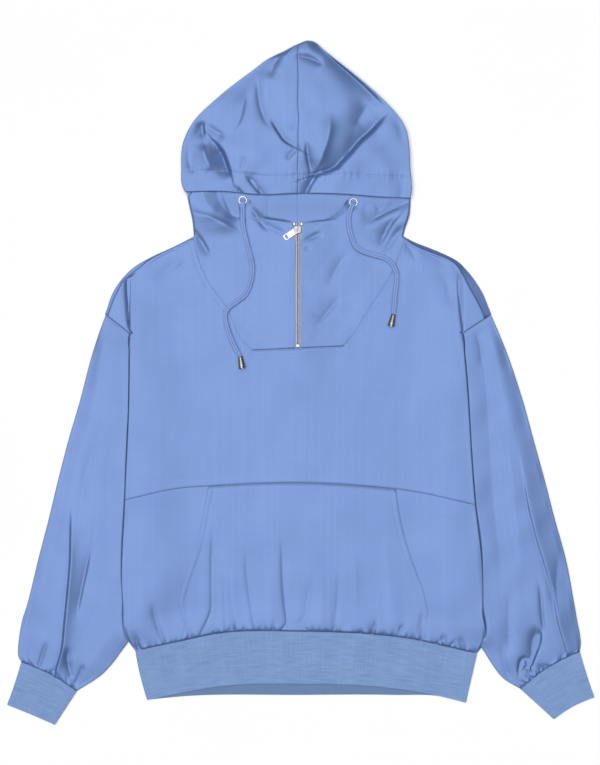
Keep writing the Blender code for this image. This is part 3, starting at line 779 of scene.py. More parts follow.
class Cloth:
    """Points of one panel, gathered grid by grid, and the mesh that they make."""

    def __init__(self, name: str) -> None:
        """Starts an empty panel."""
        self.name = name
        self.points: list[Grid] = []
        self.weave: list[Grid] = []
        self.faces: list[Grid] = []
        self.count = 0

    def add(self, points: Grid, weave: Optional[Grid] = None, ring: bool = False,
            hole: Optional[tuple[float, float, float]] = None) -> None:
        """Adds a grid of points and the faces between them.

        Args:
            points: Rows and columns of points.
            weave: The cloth's own coordinates for them; the points' X and Y if left out.
            ring: Whether the last column joins the first.
            hole: Middle and radius of a round hole.
        """
        rows, columns = points.shape[:2]
        number = np.arange(rows * columns).reshape(rows, columns) + self.count
        if ring:
            number = np.hstack([number, number[:, :1]])
        quads = joined(number[:-1, :-1], number[1:, :-1], number[1:, 1:], number[:-1, 1:])
        self.points.append(points.reshape(-1, 3))
        self.weave.append((points[..., :2] if weave is None else weave).reshape(-1, 2))
        quads = quads.reshape(-1, 4)
        if hole:
            away = np.hypot(points[..., 0] - hole[0], points[..., 1] - hole[1]).ravel()
            quads = quads[(away[quads - self.count] > hole[2]).all(axis=1)]
        self.faces.append(quads)
        self.count += rows * columns

    def mesh(self, wall: float, upwards: bool = True, weld: bool = False) -> bpy.types.Mesh:
        """Makes the mesh, with its wall.

        Args:
            wall: Thickness of the cloth, measured down from its face.
            upwards: Whether the face looks up in most places; a closed tube looks outwards.
            weld: Whether the grids are joined where they meet.

        Returns:
            The finished mesh in metres.
        """
        points, faces = np.vstack(self.points), np.vstack(self.faces)
        points[:, 2] = np.maximum(points[:, 2], OFF_TABLE + (wall if upwards else 0.0))
        points *= MM
        weave = np.vstack(self.weave) * MM
        mesh = bpy.data.meshes.new(self.name)
        mesh.from_pydata(points.tolist(), [], faces.tolist())
        layer = mesh.uv_layers.new(name="Weave")
        corner = np.zeros(len(mesh.loops), np.int32)
        mesh.loops.foreach_get("vertex_index", corner)
        layer.data.foreach_set("uv", weave[corner].astype(np.float32).ravel())
        bm = bmesh.new()
        bm.from_mesh(mesh)
        bmesh.ops.delete(bm, geom=[v for v in bm.verts if not v.link_faces], context="VERTS")
        if weld:
            bmesh.ops.remove_doubles(bm, verts=bm.verts, dist=MERGED)
        if not upwards:
            bmesh.ops.recalc_face_normals(bm, faces=bm.faces)
        elif sum(f.normal.z * f.calc_area() for f in bm.faces) < 0:
            bmesh.ops.reverse_faces(bm, faces=bm.faces)
        bm.to_mesh(mesh)
        bm.free()
        mesh.shade_smooth()
        if not wall:
            return mesh
        piece = add_piece(self.name, mesh)
        thick = piece.modifiers.new("Wall", "SOLIDIFY")
        thick.thickness = wall * MM
        thick.offset = -1.0
        thick.use_rim = True
        solid = bpy.data.meshes.new_from_object(piece.evaluated_get(bpy.context.evaluated_depsgraph_get()))
        bpy.data.objects.remove(piece)
        solid.name = self.name
        solid.set_sharp_from_angle(angle=math.radians(55))
        return solid

    def piece(self, finish: Finish, solid: str, wall: float = WALL, upwards: bool = True,
              weld: bool = False) -> Object:
        """Makes the finished piece.

        Args:
            finish: Its finish.
            solid: The solid of the frame that it stands for.
            wall: Thickness of the cloth.
            upwards: Whether the face looks up in most places.
            weld: Whether the grids are joined where they meet.

        Returns:
            The piece.
        """
        return dress(add_piece(self.name, self.mesh(wall, upwards, weld)), finish, solid)


class Surface:
    """The upper face of finished pieces, for what is sewn on them."""

    def __init__(self, *names: str) -> None:
        """Reads the meshes of the pieces with these names."""
        points, faces = [], []
        for name in names:
            start, mesh = len(points), bpy.data.objects[name].data
            points += [v.co[:] for v in mesh.vertices]
            faces += [[start + i for i in f.vertices] for f in mesh.polygons]
        self.tree = BVHTree.FromPolygons(points, faces)

    def top(self, x: float, y: float) -> float:
        """Height of the upper face at a place."""
        hit = self.tree.ray_cast(Vector((x * MM, y * MM, 0.1)), Vector((0, 0, -1)))
        return hit[0].z / MM if hit[0] else 0.0


# Heights and outlines that the panels share

LOW_SIDES = (((-26, -248), (-171, -254), (-319, -257), (-376, -249), (-390, -239)),
             ((2, 242), (-174, 254), (-265, 264), (-332, 265), (-386, 263), (-393, 257)))
# Points across the fold beside the chest: way in where it lies flat, the same where it is folded, height.
PLEAT = np.array(((0, 0.2, 0.4, 0.6, 0.8, 1.0, 1.3, 2.4),
                  (6.0, 7.2, 5.0, 1.0, -0.7, 0.3, 2.0, 4.2),
                  (0, 0.06, 0.2, 0.4, 0.66, 0.9, 1.0, 1.04)))


def pair(left: Rows, right: Rows, corners: Sequence[float] = ()) -> dict[Side, Trace]:
    """The same line on both sides of the garment."""
    return {Side.LEFT: Trace(left, corners), Side.RIGHT: Trace(right, corners)}


@dataclass
class BodyPattern:
    """Outlines, seams and layer heights of the body.

    The outlines of both sides give X by Y; foot, waist and hem are seams that give Y by X.

    Attributes:
        tuck_height: How far the body climbs over a tucked sleeve.
        armhole_end: Y of the armhole's lower end.
        pleat_top: Y of the upper end of the fold beside the chest.
        pleat: Where the chest folds over the shoulder caps.
        tuck: The inner edges of the tucked sleeves.
        insert_foot: Y of the neck insert's lower corners.
    """

    front_height: float = 4.2
    back_height: float = 1.5
    tuck_height: float = 4.5
    armhole_end: float = 70.0
    pleat_top: float = 160.0
    front: dict[Side, Trace] = field(default_factory=lambda: pair(
        ((206, -162), (197, -180), (187, -201.5), (176, -221.5), (168, -231), (159.4, -242.3),
         (146.6, -256.7), (133.4, -264.5), (120, -271.2), (104.5, -276.7), (95.9, -280), (70, -247),
         *LOW_SIDES[0]),
        ((206, 155), (194.3, 174.9), (183.9, 201.6), (178.2, 215.9), (170.5, 227.1), (157.2, 235.9),
         (137.2, 246.9), (117.2, 258.1), (99.5, 266.3), (91.8, 268.5), (70, 236), *LOW_SIDES[1]),
        (95.9, 91.8, 70)))
    back: dict[Side, Trace] = field(default_factory=lambda: pair(
        ((212, -154), (202, -171), (184, -210), (168, -239), (151, -257), (136, -268), (98, -283), (70, -247),
         *LOW_SIDES[0]),
        ((212, 150), (204, 164), (190, 199), (177, 226), (162, 242), (138, 260), (98, 278), (70, 237),
         *LOW_SIDES[1]), (98, 70)))
    pleat: dict[Side, Trace] = field(default_factory=lambda: pair(
        ((168, -246.5), (70, -246.5)), ((168, 228), (133, 229), (90, 233), (70, 236))))
    insert: dict[Side, Trace] = field(default_factory=lambda: pair(
        ((206, -154), (168, -143), (142, -130), (113, -109), (62, -85), (46, -68)),
        ((206, 152), (158, 133), (139, 122), (106, 100), (74, 81), (52, 63)), (62, 74)))
    pocket: dict[Side, Trace] = field(default_factory=lambda: pair(
        ((-151, -133), (-191, -141), (-239, -150), (-284, -165), (-318, -175), (-347, -172), (-376, -178)),
        ((-153, 139), (-200, 146), (-271, 167), (-300, 178), (-333, 186), (-374, 177)), (-318, -333)))
    tuck: dict[Side, Trace] = field(default_factory=lambda: pair(
        ((69.5, -247.6), (56, -248.5), (16, -243), (-40, -233), (-96, -233), (-150, -235), (-205, -226),
         (-260, -219), (-314, -228), (-348, -246), (-386, -262), (-424, -287)),
        ((69.4, 236.8), (56, 238.5), (16, 237), (-40, 228), (-96, 230), (-150, 233), (-205, 229), (-260, 229),
         (-314, 238), (-350, 254), (-388, 271), (-426, 294))))
    insert_foot: dict[Side, float] = field(default_factory=lambda: {Side.LEFT: 46.0, Side.RIGHT: 52.0})
    foot: Trace = Trace(((-68, 46), (63, 52)))
    waist: Trace = Trace(((-254, -171), (-173, -154), (-133, -151), (0, -146), (100, -151), (160, -158),
                          (255, -178)))
    hem: Trace = Trace(((-239, -390), (-173, -376), (-119, -365), (0, -362), (88, -365), (142, -370),
                        (257, -394)))

    def lift(self, x: Grid, y: Grid, start: float, full: float) -> Grid:
        """How far the body climbs over the tucked sleeves.

        Args:
            x: Places across.
            y: Places along.
            start: Y at which it starts to climb.
            full: Y from which it is up.

        Returns:
            The lift at each place.
        """
        left = self.tuck[Side.LEFT].at(y)
        right = self.tuck[Side.RIGHT].at(y)
        inside = np.where(x < 0, x - left, right - x)
        down = ease(y, start, full) * ease(y, -390, -348)
        return self.tuck_height * down * ease(inside, 80, 0)

    def back_top(self, x: Grid, y: Grid) -> Grid:
        """Height of the back's upper face."""
        return self.back_height + self.lift(x, y, self.armhole_end, self.armhole_end - 24)

    def front_top(self, x: Grid, y: Grid, on_shoulder: bool = False) -> Grid:
        """Height of the front's upper face before its folds.

        Args:
            x: Places across.
            y: Places along.
            on_shoulder: Whether the place is on a shoulder cap, under the chest's fold.

        Returns:
            The height at each place.
        """
        height = self.front_height + 1.9 * swell(x - CENTRE, 12, 60) * swell(y - 140, 105, 175)
        height = height + 1.0 * swell(x - CENTRE, 25, 95) * ease(y, 150, 198)
        if on_shoulder:
            return height
        return height + self.lift(x, y, self.pleat_top, self.armhole_end + 6)


BODY_FOLDS = (
    Fold(((188, 256), (172, 266), (150, 283)), -1.3, 9, 9),
    Fold(((205, 250), (190, 262), (172, 270)), 0.8, 8, 8),
    Fold(((402, 240), (411, 250), (416, 262)), -1.0, 4, 5),
    Fold(((412, 247), (432, 256), (452, 268)), -0.9, 4, 8),
    Fold(((437, 266), (447, 284), (452, 310)), -0.8, 9, 9),
    Fold(((380, 250), (392, 262), (398, 280)), -0.6, 6, 6),
    Fold(((277, 357), (296, 354), (313, 356)), 0.5, 5, 5),
)

LOWER_FOLDS = (
    Fold(((152, 600), (156, 620), (164.5, 644)), -1.3, 3.5, 5, 0.0, 0.8),
    Fold(((135, 634), (140, 650)), -1.3, 3, 4, 0.3, 1.0),
    Fold(((441.8, 634), (446, 646)), -1.2, 3, 4, 0.2, 1.0),
    Fold(((460, 636), (463, 650)), -1.1, 3, 4, 0.2, 1.0),
)

POCKET_FOLDS = (
    Fold(((212, 520), (211.8, 585), (211, 613), (201, 635)), -1.2, 9, 3, 0.0, 1.2),
    Fold(((213.6, 612), (205.8, 634)), -1.0, 3, 3, 0.2, 1.0),
    Fold(((222, 560), (225, 600), (226.4, 636)), -0.7, 7, 4, 0.0, 0.9),
    Fold(((231, 560), (233, 600), (238, 634)), 0.7, 8, 6, 0.0, 0.5),
    Fold(((244, 540), (248.5, 590), (255.5, 632)), -0.8, 8, 3, 0.0, 1.0),
    Fold(((281.5, 530), (283, 585), (288.5, 632)), -1.1, 15, 3, 0.0, 1.1),
    Fold(((268, 550), (270, 600), (272, 632)), 0.7, 12, 10, 0.0, 0.5),
    Fold(((302, 622), (293, 629), (285, 633)), -1.2, 3, 3.5, 0.2, 0.8),
    Fold(((311, 575), (306, 612), (299, 634)), -0.9, 4, 7, 0.0, 1.4),
    Fold(((321, 560), (322, 600), (320, 632)), 0.6, 12, 12, 0.0, 0.5),
    Fold(((339, 565), (338, 600), (333, 633)), -0.8, 4, 7, 0.0, 1.0),
    Fold(((376, 620), (372.7, 636)), -1.3, 3, 3, 0.2, 1.0),
    Fold(((404, 624), (396.6, 639)), -1.6, 3, 4, 0.2, 1.0),
    Fold(((352, 540), (356, 590), (352, 630)), 0.6, 16, 14),
    Fold(((385, 530), (390, 590), (398, 634)), 0.6, 14, 14),
    Fold(((184, 614), (183, 626), (179, 643)), -1.5, 3, 5, 0.1, 1.1),
    Fold(((188, 626), (190, 640)), -1.0, 2.5, 2.5, 0.2, 1.0),
    Fold(((424, 610), (423, 624), (420.5, 640)), -1.2, 3, 5, 0.1, 1.0),
)


@dataclass
class Body:
    """The back, the front's two panels and the pocket.

    Attributes:
        cap_columns: Shares across a shoulder cap for the mesh's lines.
        main_columns: The same across one side of the chest.
        gathers: The small folds above the hem band.
        puckers: Those between the rows of stitches beside the insert.
    """

    pattern: BodyPattern
    wardrobe: Wardrobe
    cap_columns: Grid = field(default_factory=lambda: steps(34, 2.6, True, True))
    main_columns: Grid = field(default_factory=lambda: steps(150, 2.7, False, True))
    gathers: Gathering = Gathering(-240, 258, 7.5, 11, 2.8, 11)
    puckers: Gathering = Gathering(40, 206, 4.2, 5.0, 0.4, 15)

    def folded_edge(self, side: Side, y: Grid, inner: Grid) -> tuple[Grid, Grid]:
        """The edge at which the chest folds over the shoulder cap, or the body's free side below it.

        Args:
            side: The side of the garment.
            y: Y of each row.
            inner: X at which each row's side part ends.

        Returns:
            X and height of the points from the outermost to the first of the chest, for each row.
        """
        inward = -side.value
        outline = self.pattern.front[side].at(y)
        room = np.abs(outline - inner)
        on_cap = y >= self.pattern.armhole_end
        cap = np.clip(inward * (self.pattern.pleat[side].at(y) - outline), 6.0, None)
        cap = np.where(on_cap, np.minimum(cap, 0.3 * room), 0.0)
        crease = outline + inward * cap
        low = np.where(on_cap, self.pattern.front_top(outline, y, True),
                       np.maximum(self.pattern.back_top(crease, y) + LAY + WALL, 1.4))
        climb = self.pattern.front_top(crease + inward * 3, y) - low
        flat, fold, lift = PLEAT
        scale = np.minimum(1.0, 0.1 * room)
        x = crease[:, None] + inward * scale[:, None] * mix(flat, fold, ease(climb, 0.8, 3.0)[:, None])
        z = low[:, None] + climb[:, None] * lift
        start = np.where(on_cap, outline, crease + inward * 14)
        cap_x = mix(start[:, None], x[:, :1], self.cap_columns[:-1])
        dip = (4.8 if side is Side.LEFT else 2.6) * ease(y, 66, 96) * ease(y, 160, 146)
        dip = (dip * on_cap)[:, None]
        cap_z = low[:, None] - dip * hump(cap_x - crease[:, None], mix(2.6, 7.0, ease(y, 76, 150))[:, None])
        z[:, :2] -= dip
        cap_z -= np.where(on_cap[:, None], 0.9 * hump(cap_x - outline[:, None], 1.3), 0.0)
        return np.hstack([cap_x, x]), np.hstack([cap_z, z])

    def chest_side(self, side: Side) -> Grid:
        """Points of the chest beside the neck insert, in rows of one height from the shoulder down."""
        foot = self.pattern.insert_foot[side]
        y = mix(206.0, foot, steps(206 - foot, 2.5, True, False))
        inner = self.pattern.insert[side].at(y) + side.value * SEAM
        edge_x, edge_z = self.folded_edge(side, y, inner)
        x = mix(edge_x[:, -1:], inner[:, None], self.main_columns[1:])
        x, yy = np.broadcast_arrays(x, y[:, None])
        beside = np.abs(x - inner[:, None])
        z = self.face(x, yy) - (0.2 * hump(beside, 0.9) + 0.2 * hump(beside - 7.6, 1.0))
        z += self.puckers.rise(yy, np.abs(beside - 4.5)) * ease(beside, 11, 8)
        points = joined(np.hstack([edge_x, x]), y[:, None], np.hstack([edge_z, z]))
        return points[:, ::-side.value]

    def face(self, x: Grid, y: Grid) -> Grid:
        """Height of the front with its folds."""
        return (self.pattern.front_top(x, y) + folds_rise(BODY_FOLDS, x, y)
                + unevenness(x, y, 120, 0.30, 3) + unevenness(x, y, 34, 0.06, 4))

    def full_rows(self, upper: Line, lower: Line, shares: Grid, inner: dict[Side, Trace],
                  middle_cells: int) -> Grid:
        """Rows that run from one side of the body to the other between two curved seams.

        Args:
            upper: Y of the seam above, by X.
            lower: Y of the seam below.
            shares: Where the rows lie between them.
            inner: X at which the side parts end on both sides.
            middle_cells: Cells between the side parts.

        Returns:
            The points, with heights for the folded edges only; the rest have height 0.
        """
        halves = []
        for side in Side:
            y = mix(upper(inner[side].at(0.0)), lower(inner[side].at(0.0)), shares)
            edge_y = settled(self.pattern.front[side], y, upper, lower, shares)[1]
            inner_x = settled(inner[side], y, upper, lower, shares)[0]
            edge_x, edge_z = self.folded_edge(side, edge_y, inner_x)
            x = mix(edge_x[:, -1:], inner_x[:, None], self.main_columns[1:])
            half = np.hstack([edge_x, x]), np.hstack([edge_z, np.zeros_like(x)])
            halves.append([part[:, ::-side.value] for part in half])
        (left_x, left_z), (right_x, right_z) = halves
        middle = mix(left_x[:, -1:], right_x[:, :1], np.linspace(0, 1, middle_cells + 1)[1:-1])
        x = np.hstack([left_x, middle, right_x])
        z = np.hstack([left_z, np.zeros_like(middle), right_z])
        return joined(x, mix(upper(x), lower(x), shares[:, None]), z)

    def fill_heights(self, points: Grid, height: Callable[[Grid, Grid], Grid]) -> None:
        """Gives the rows between their folded edges the heights of the front.

        Args:
            points: Rows from full_rows, which are changed in place.
            height: The front's height at a place.
        """
        edge = len(self.cap_columns) - 1 + PLEAT.shape[1]
        points[:, edge:-edge, 2] = height(points[:, edge:-edge, 0], points[:, edge:-edge, 1])
        for part in (points[:, :edge], points[:, -edge:]):
            part[..., 2] -= 0.3 * hump(part[..., 1] - self.pattern.waist.at(part[..., 0]), 0.6)

    def build_upper(self) -> None:
        """Builds the front's upper panel, cut out for the neck insert."""
        cloth = Cloth("front_upper_cloth")
        for side in Side:
            cloth.add(self.chest_side(side))
        inner = pair(((46, -68.3), (-151, -133)), ((52, 63.3), (-153, 139)))
        points = self.full_rows(self.pattern.foot.at, lambda x: self.pattern.waist.at(x) + SEAM,
                                steps(195, 2.6, False, True), inner, 50)

        def height(x: Grid, y: Grid) -> Grid:
            """The front with its seam at the waist and under the insert."""
            waist = y - self.pattern.waist.at(x)
            insert = np.where((x > -69) & (x < 64), y - self.pattern.foot.at(x), 99)
            return (self.face(x, y) - 0.3 * hump(waist, 0.6) + 0.3 * hump(waist - 4, 3)
                    - 0.7 * hump(insert, 0.8) - 0.25 * hump(insert + 7.6, 1.0))

        self.fill_heights(points, height)
        cloth.add(points)
        cloth.piece(self.wardrobe.satin, "front_upper", weld=True)

    def blouse(self, x: Grid, y: Grid) -> Grid:
        """How the lower front swells over the hem band and draws in at its seam."""
        up = y - self.pattern.hem.at(x)
        bulge = 1.5 * ease(up, 0, 2.4) * ease(up, 46, 8) - 0.5 * hump(up, 0.8)
        return bulge + self.gathers.rise(x, up) * ease(up, -1, 1.2)

    def lower_face(self, x: Grid, y: Grid) -> Grid:
        """Height of the lower front with its folds."""
        return (self.pattern.front_top(x, y) + unevenness(x, y, 110, 0.3, 5) + self.blouse(x, y)
                + unevenness(x, y * 0.25, 26, 0.12, 6) * ease(y, -170, -300)
                - 0.3 * hump(self.pattern.waist.at(x) - y, 0.6))

    def build_lower(self) -> None:
        """Builds the front's lower panel, which runs on under the pocket."""
        cloth = Cloth("front_lower_cloth")
        points = self.full_rows(lambda x: self.pattern.waist.at(x) - SEAM, self.pattern.hem.at,
                                steps(215, 2.7, True, True), self.pattern.pocket, 24)
        self.fill_heights(points, lambda x, y: self.lower_face(x, y) + folds_rise(LOWER_FOLDS, x, y))
        cloth.add(points)
        cloth.piece(self.wardrobe.satin, "front_lower")

    def build_pocket(self) -> None:
        """Builds the pocket, sewn in above and below and open at its slanted sides."""
        shares = steps(215, 2.5, True, True)
        waist, hem = self.pattern.waist.at, self.pattern.hem.at

        def top(x: Grid) -> Grid:
            """Y of the pocket's upper edge."""
            return waist(x) - SEAM

        guess = mix(-152.0, -370.0, shares)
        left, right = (settled(self.pattern.pocket[side], guess, top, hem, shares)[0][:, None]
                       for side in Side)
        x = mix(left, right, steps(330, 1.5, True, True))
        y = mix(top(x), hem(x), shares[:, None])
        from_edge = np.minimum(x - left, right - x)
        z = self.lower_face(x, y) + folds_rise(POCKET_FOLDS, x, y)
        z += 1.15 * ease(np.minimum(waist(x) - y, y - hem(x)), 0, 5) - 0.2 * hump(from_edge, 1.0)
        z += 0.25 * hump(from_edge - 3.5, 3.0) - 0.15 * hump(from_edge - 8.5, 1.2)
        cloth = Cloth("pocket_cloth")
        cloth.add(joined(x, y, z))
        cloth.piece(self.wardrobe.satin, "pocket")

    def build_back(self) -> None:
        """Builds the back, and the strips of it that come over the shoulders to the front's seams."""
        cloth = Cloth("back_cloth")
        pattern = self.pattern
        y = mix(206.0, -391.0, steps(597, 6.0))
        left, right = (pattern.back[side].at(y)[:, None] - side.value * 2.5 for side in Side)
        x = mix(left, right, np.linspace(0, 1, 70))
        yy = np.maximum(y[:, None], pattern.hem.at(x) + 0.5)
        cloth.add(joined(x, yy, pattern.back_top(x, yy) - 0.4))
        share = np.linspace(0, 1, 8)
        roll = np.linspace(math.pi / 2, -math.pi / 2, 8)[1:]
        for side in Side:
            y = mix(211.0, 96.2 if side is Side.LEFT else 92.1, steps(116, 2.0))
            edge_x = pattern.back[side].at(y)
            front_x = np.where(y > 206.5, side.value * 148.0, pattern.front[side].at(y) + side.value * SEAM)
            seam_x = side.value * np.minimum(np.abs(front_x), np.abs(edge_x) - 0.5)
            width = np.abs(edge_x - seam_x)
            turn = side.value * np.minimum(0.8, 0.5 * width)[:, None]
            seam_x, bend = seam_x[:, None], edge_x[:, None] - turn
            inner_z, outer_z = (4.0, 3.4) if side is Side.LEFT else (4.4, 1.8)
            z = mix(mix(inner_z, outer_z, share), 1.2, ease(y, 206, 207)[:, None])
            z = z - 0.6 * ease(width, 4.0, 0.5)[:, None]
            x = np.hstack([mix(seam_x, bend, share), bend + turn * np.cos(roll),
                           mix(seam_x, bend, np.array([0.6, 0.2]))])
            z = np.hstack([z, mix(0.8, z[:, -1:], 0.5 + 0.5 * np.sin(roll)),
                           np.tile([0.9, 1.6], (len(y), 1))])
            cloth.add(joined(x, y[:, None], z)[:, ::side.value])
        cloth.piece(self.wardrobe.satin, "back_panel")


# Sleeves and rib knit

LEFT_SLEEVE_FOLDS = (
    *lap(((70, 500), (70, 530), (69, 568), (64, 623), (61, 649), (54, 673)), 3.4, 11),
    Fold(((93, 539), (85, 576), (78.6, 608), (78.6, 626)), -1.9, 1.6, 9),
    Fold(((68, 645), (67, 662), (70, 676)), -2.6, 6, 5, 0.0, 0.6),
    Fold(((84.5, 664), (76, 682)), -1.5, 4, 4, 0.1, 0.9),
    Fold(((47, 640), (42, 655), (38, 667)), -1.3, 3, 3, 0.0, 0.9),
    Fold(((100, 430), (84, 480), (78, 530)), -1.3, 14, 14),
    Fold(((34, 560), (27, 610), (25, 640)), -0.7, 8, 8),
    Fold(((112, 420), (108, 480), (108, 540)), -0.8, 12, 14),
)

RIGHT_SLEEVE_FOLDS = (
    *lap(((516, 440), (523, 480), (527.6, 507), (535.6, 539), (543.5, 564.5), (551.5, 592), (556.3, 620),
          (562.7, 641), (566.7, 655)), 1.5, 20),
    Fold(((537, 575), (540.4, 592), (542, 612), (545, 642)), -1.5, 2, 3),
    Fold(((541, 627), (539.5, 644), (533, 666)), -4.4, 1.4, 12, 0.0, 0.8),
    Fold(((536, 622), (535, 640), (534, 656)), -1.6, 7, 8),
    Fold(((519, 672), (521, 662), (526, 659), (531, 664)), -2.8, 1.4, 4, 0.5, 0.6),
    Fold(((524, 671), (529, 669), (532, 674)), -1.6, 2, 3, 0.5, 0.9),
    Fold(((509, 590), (509, 630), (510, 662)), -1.3, 6, 10),
    Fold(((478, 334), (485, 380), (493, 502), (500, 565), (501, 615)), -1.5, 24, 19, 0.4, 0.2),
    Fold(((505, 380), (512, 470), (519, 550), (519, 620)), 0.6, 14, 14),
    Fold(((559, 548), (556, 590), (560, 620)), -0.9, 8, 8),
    Fold(((500, 640), (506, 668), (513, 686)), -1.2, 6, 6),
    Fold(((474, 330), (480, 345), (482, 372)), -1.2, 6, 6),
)


LEFT_SLEEVE = ((-282.0, 97.4, -247.1, 70.4), (-292, 70, -248.5, 56), (-304, 32, -243, 16),
               (-319, -26, -233, -40), (-336, -84, -233, -96), (-351, -142, -235, -150),
               (-365, -200, -226, -205), (-380, -258, -219, -260),
               (-394, -316, -226, -314), (-403, -345, -237, -356), (-408, -374, -258, -389),
               (-409, -396, -286, -423), (-404.5, -406, -324, -448.5))


RIGHT_SLEEVE = ((277.2, 97.3, 236.3, 70.3), (289, 70, 238.5, 56), (304, 32, 237, 16), (323, -26, 228, -40),
                (339, -84, 230, -96), (355, -142, 233, -150), (370, -200, 229, -205), (386, -258, 229, -260),
                (397, -316, 238, -314), (402, -345, 246, -356), (406, -365, 267, -391),
                (407.5, -380, 292, -427), (406, -391, 320, -445.5))


@dataclass
class Sleeve:
    """One sleeve laid flat and the rib cuff sewn to it.

    Attributes:
        side: The side of the garment.
        table: X and Y of the outer edge and of the inner, from the armhole to the cuff.
        cuff_foot: The same for the free edge of the cuff.
        folds: The creases on its upper layer.
        bow: How far the cuff's seam and its free edge arch towards the armhole.
        low_height: Height of the sleeve's upper layer where it lies lowest.
        puff_height: How far it puffs up between its edges.
        body_end: Y from which the body begins to leave the sleeve free, and Y at which it has.
        tops: Where the upper layer's points lie across.
    """

    side: Side
    table: Rows
    cuff_foot: tuple[float, float, float, float]
    folds: tuple[Fold, ...]
    pattern: BodyPattern
    wardrobe: Wardrobe
    bow: tuple[float, float]
    low_height: float = 3.84
    puff_height: float = 2.6
    body_end: tuple[float, float] = (-376, -392)
    tops: Grid = field(default_factory=lambda: np.linspace(0, 1, 112))

    def edges(self) -> tuple[Grid, Grid, Grid]:
        """The outer and inner edge of the sleeve from ring to ring, and each ring's share of the way."""
        table = np.array(self.table, float)
        down = np.sort(np.concatenate([np.linspace(0, 0.93, 165), np.linspace(0.934, 1, 34)]))
        found = []
        for line in (smooth_line(table[:, :2], 1.5), smooth_line(table[:, 2:], 1.5)):
            share = along(line) / along(line)[-1]
            found.append(joined(*(np.interp(down, share, line[:, k]) for k in (0, 1))))
        return found[0], found[1], down

    def ring_points(self, outer: Grid, inner: Grid, top: Grid, shares: Grid, radius: float,
                    arch: Grid) -> Grid:
        """Rings of a flattened tube.

        Args:
            outer: Outer edge of each ring.
            inner: Inner edge of each ring.
            top: Height of the upper layer, by ring and share.
            shares: Where the upper layer's points lie across.
            radius: How far the rounded edges reach in.
            arch: How far the middle of each ring lies nearer the armhole.

        Returns:
            The rings, one row each, from the inner edge under the sleeve round to its inner edge again.
        """
        out = unit(inner - outer) * radius
        under = np.linspace(1, 0, 12)
        spots = mix((outer + out)[:, None], (inner - out)[:, None], np.concatenate([under, shares])[:, None])
        low, high = np.split(joined(spots[..., 0], spots[..., 1], 0.0), [len(under)], axis=1)
        low[..., 2], high[..., 2] = OFF_TABLE, top
        out = np.pad(out, ((0, 0), (0, 1)))
        points = np.concatenate([low, rolled(low[:, -1], high[:, 0], -out, HALF_TURN), high,
                                 rolled(low[:, 0], high[:, -1], out, HALF_TURN[::-1])], axis=1)
        level = np.concatenate([under, HALF_TURN * 0, shares, HALF_TURN * 0])
        points[..., :2] += self.upwards() * (arch[:, None] * np.sin(math.pi * level))[..., None]
        return points

    def upwards(self) -> Grid:
        """The way from the cuff to the armhole, of length 1."""
        seam, foot = np.array(self.table[-1], float), np.array(self.cuff_foot, float)
        return unit((seam[:2] + seam[2:] - foot[:2] - foot[2:]) / 2)

    def build(self) -> None:
        """Builds the sleeve."""
        outer, inner, down = self.edges()
        span = np.linalg.norm(inner - outer, axis=1)[:, None]
        inner_y = inner[:, 1]
        front = self.pattern.front[self.side].at(inner_y)
        body_edge = np.where(inner_y > self.body_end[0], front, inner[:, 0])
        under = np.clip((body_edge - outer[:, 0]) / (inner[:, 0] - outer[:, 0]), 0.62, 1.0)
        limit = mix(under, 1.0, ease(inner_y, *self.body_end))[:, None]
        share = self.tops[None, :]
        puff = ease(share, limit + 0.018, limit - 0.002) * ease(share, -0.02, 0.24)
        free = ease(inner_y, -366, -392)[:, None]
        puff = mix(puff, ease(share, 1.02, 0.8) * ease(share, -0.02, 0.24), free)
        lengthwise = (ease(down, 0.0, 0.1) * mix(0.55, 1.0, ease(down, 1.0, 0.9)))[:, None]
        top = self.low_height + self.puff_height * puff * lengthwise
        margin = (inner - outer) / span
        start, end = (outer + margin)[:, None], (inner - margin)[:, None]
        x, y = (mix(start[..., k], end[..., k], share) for k in (0, 1))
        shown = ease(share, limit + 0.016, limit - 0.006) * ease(share, 0.0, 0.05)
        shown = mix(shown, ease(share, 0.0, 0.05) * ease(share, 1.0, 0.95), free)
        length = along((outer + inner) / 2)
        left = (1 - down[:, None]) * length[-1]
        gathers = Gathering(0, span[-1, 0], 5.6, 10, 3.2, 21 + self.side.value)
        relief = folds_rise(self.folds, x, y) + unevenness(x, y, 70, 0.32, 8 + self.side.value)
        relief += gathers.rise(share * span * span[-1] / span, left) * ease(left, -1, 1.2)
        top = top + relief * shown * ease(down, 0.0, 0.03)[:, None]
        top -= 1.4 * ease(left, 2.6, 0) + 0.6 * hump(down[:, None] * 600, 1.2)
        points = self.ring_points(outer, inner, np.maximum(top, 2.6), self.tops, 1.0,
                                  self.bow[0] * ease(left[:, 0], 70, 0))
        cloth = Cloth(f"sleeve_{self.side.word}_cloth")
        cloth.add(points, joined(along(points[100]), length[:, None]), ring=True)
        cloth.piece(self.wardrobe.satin, f"sleeve_{self.side.word}", upwards=False)

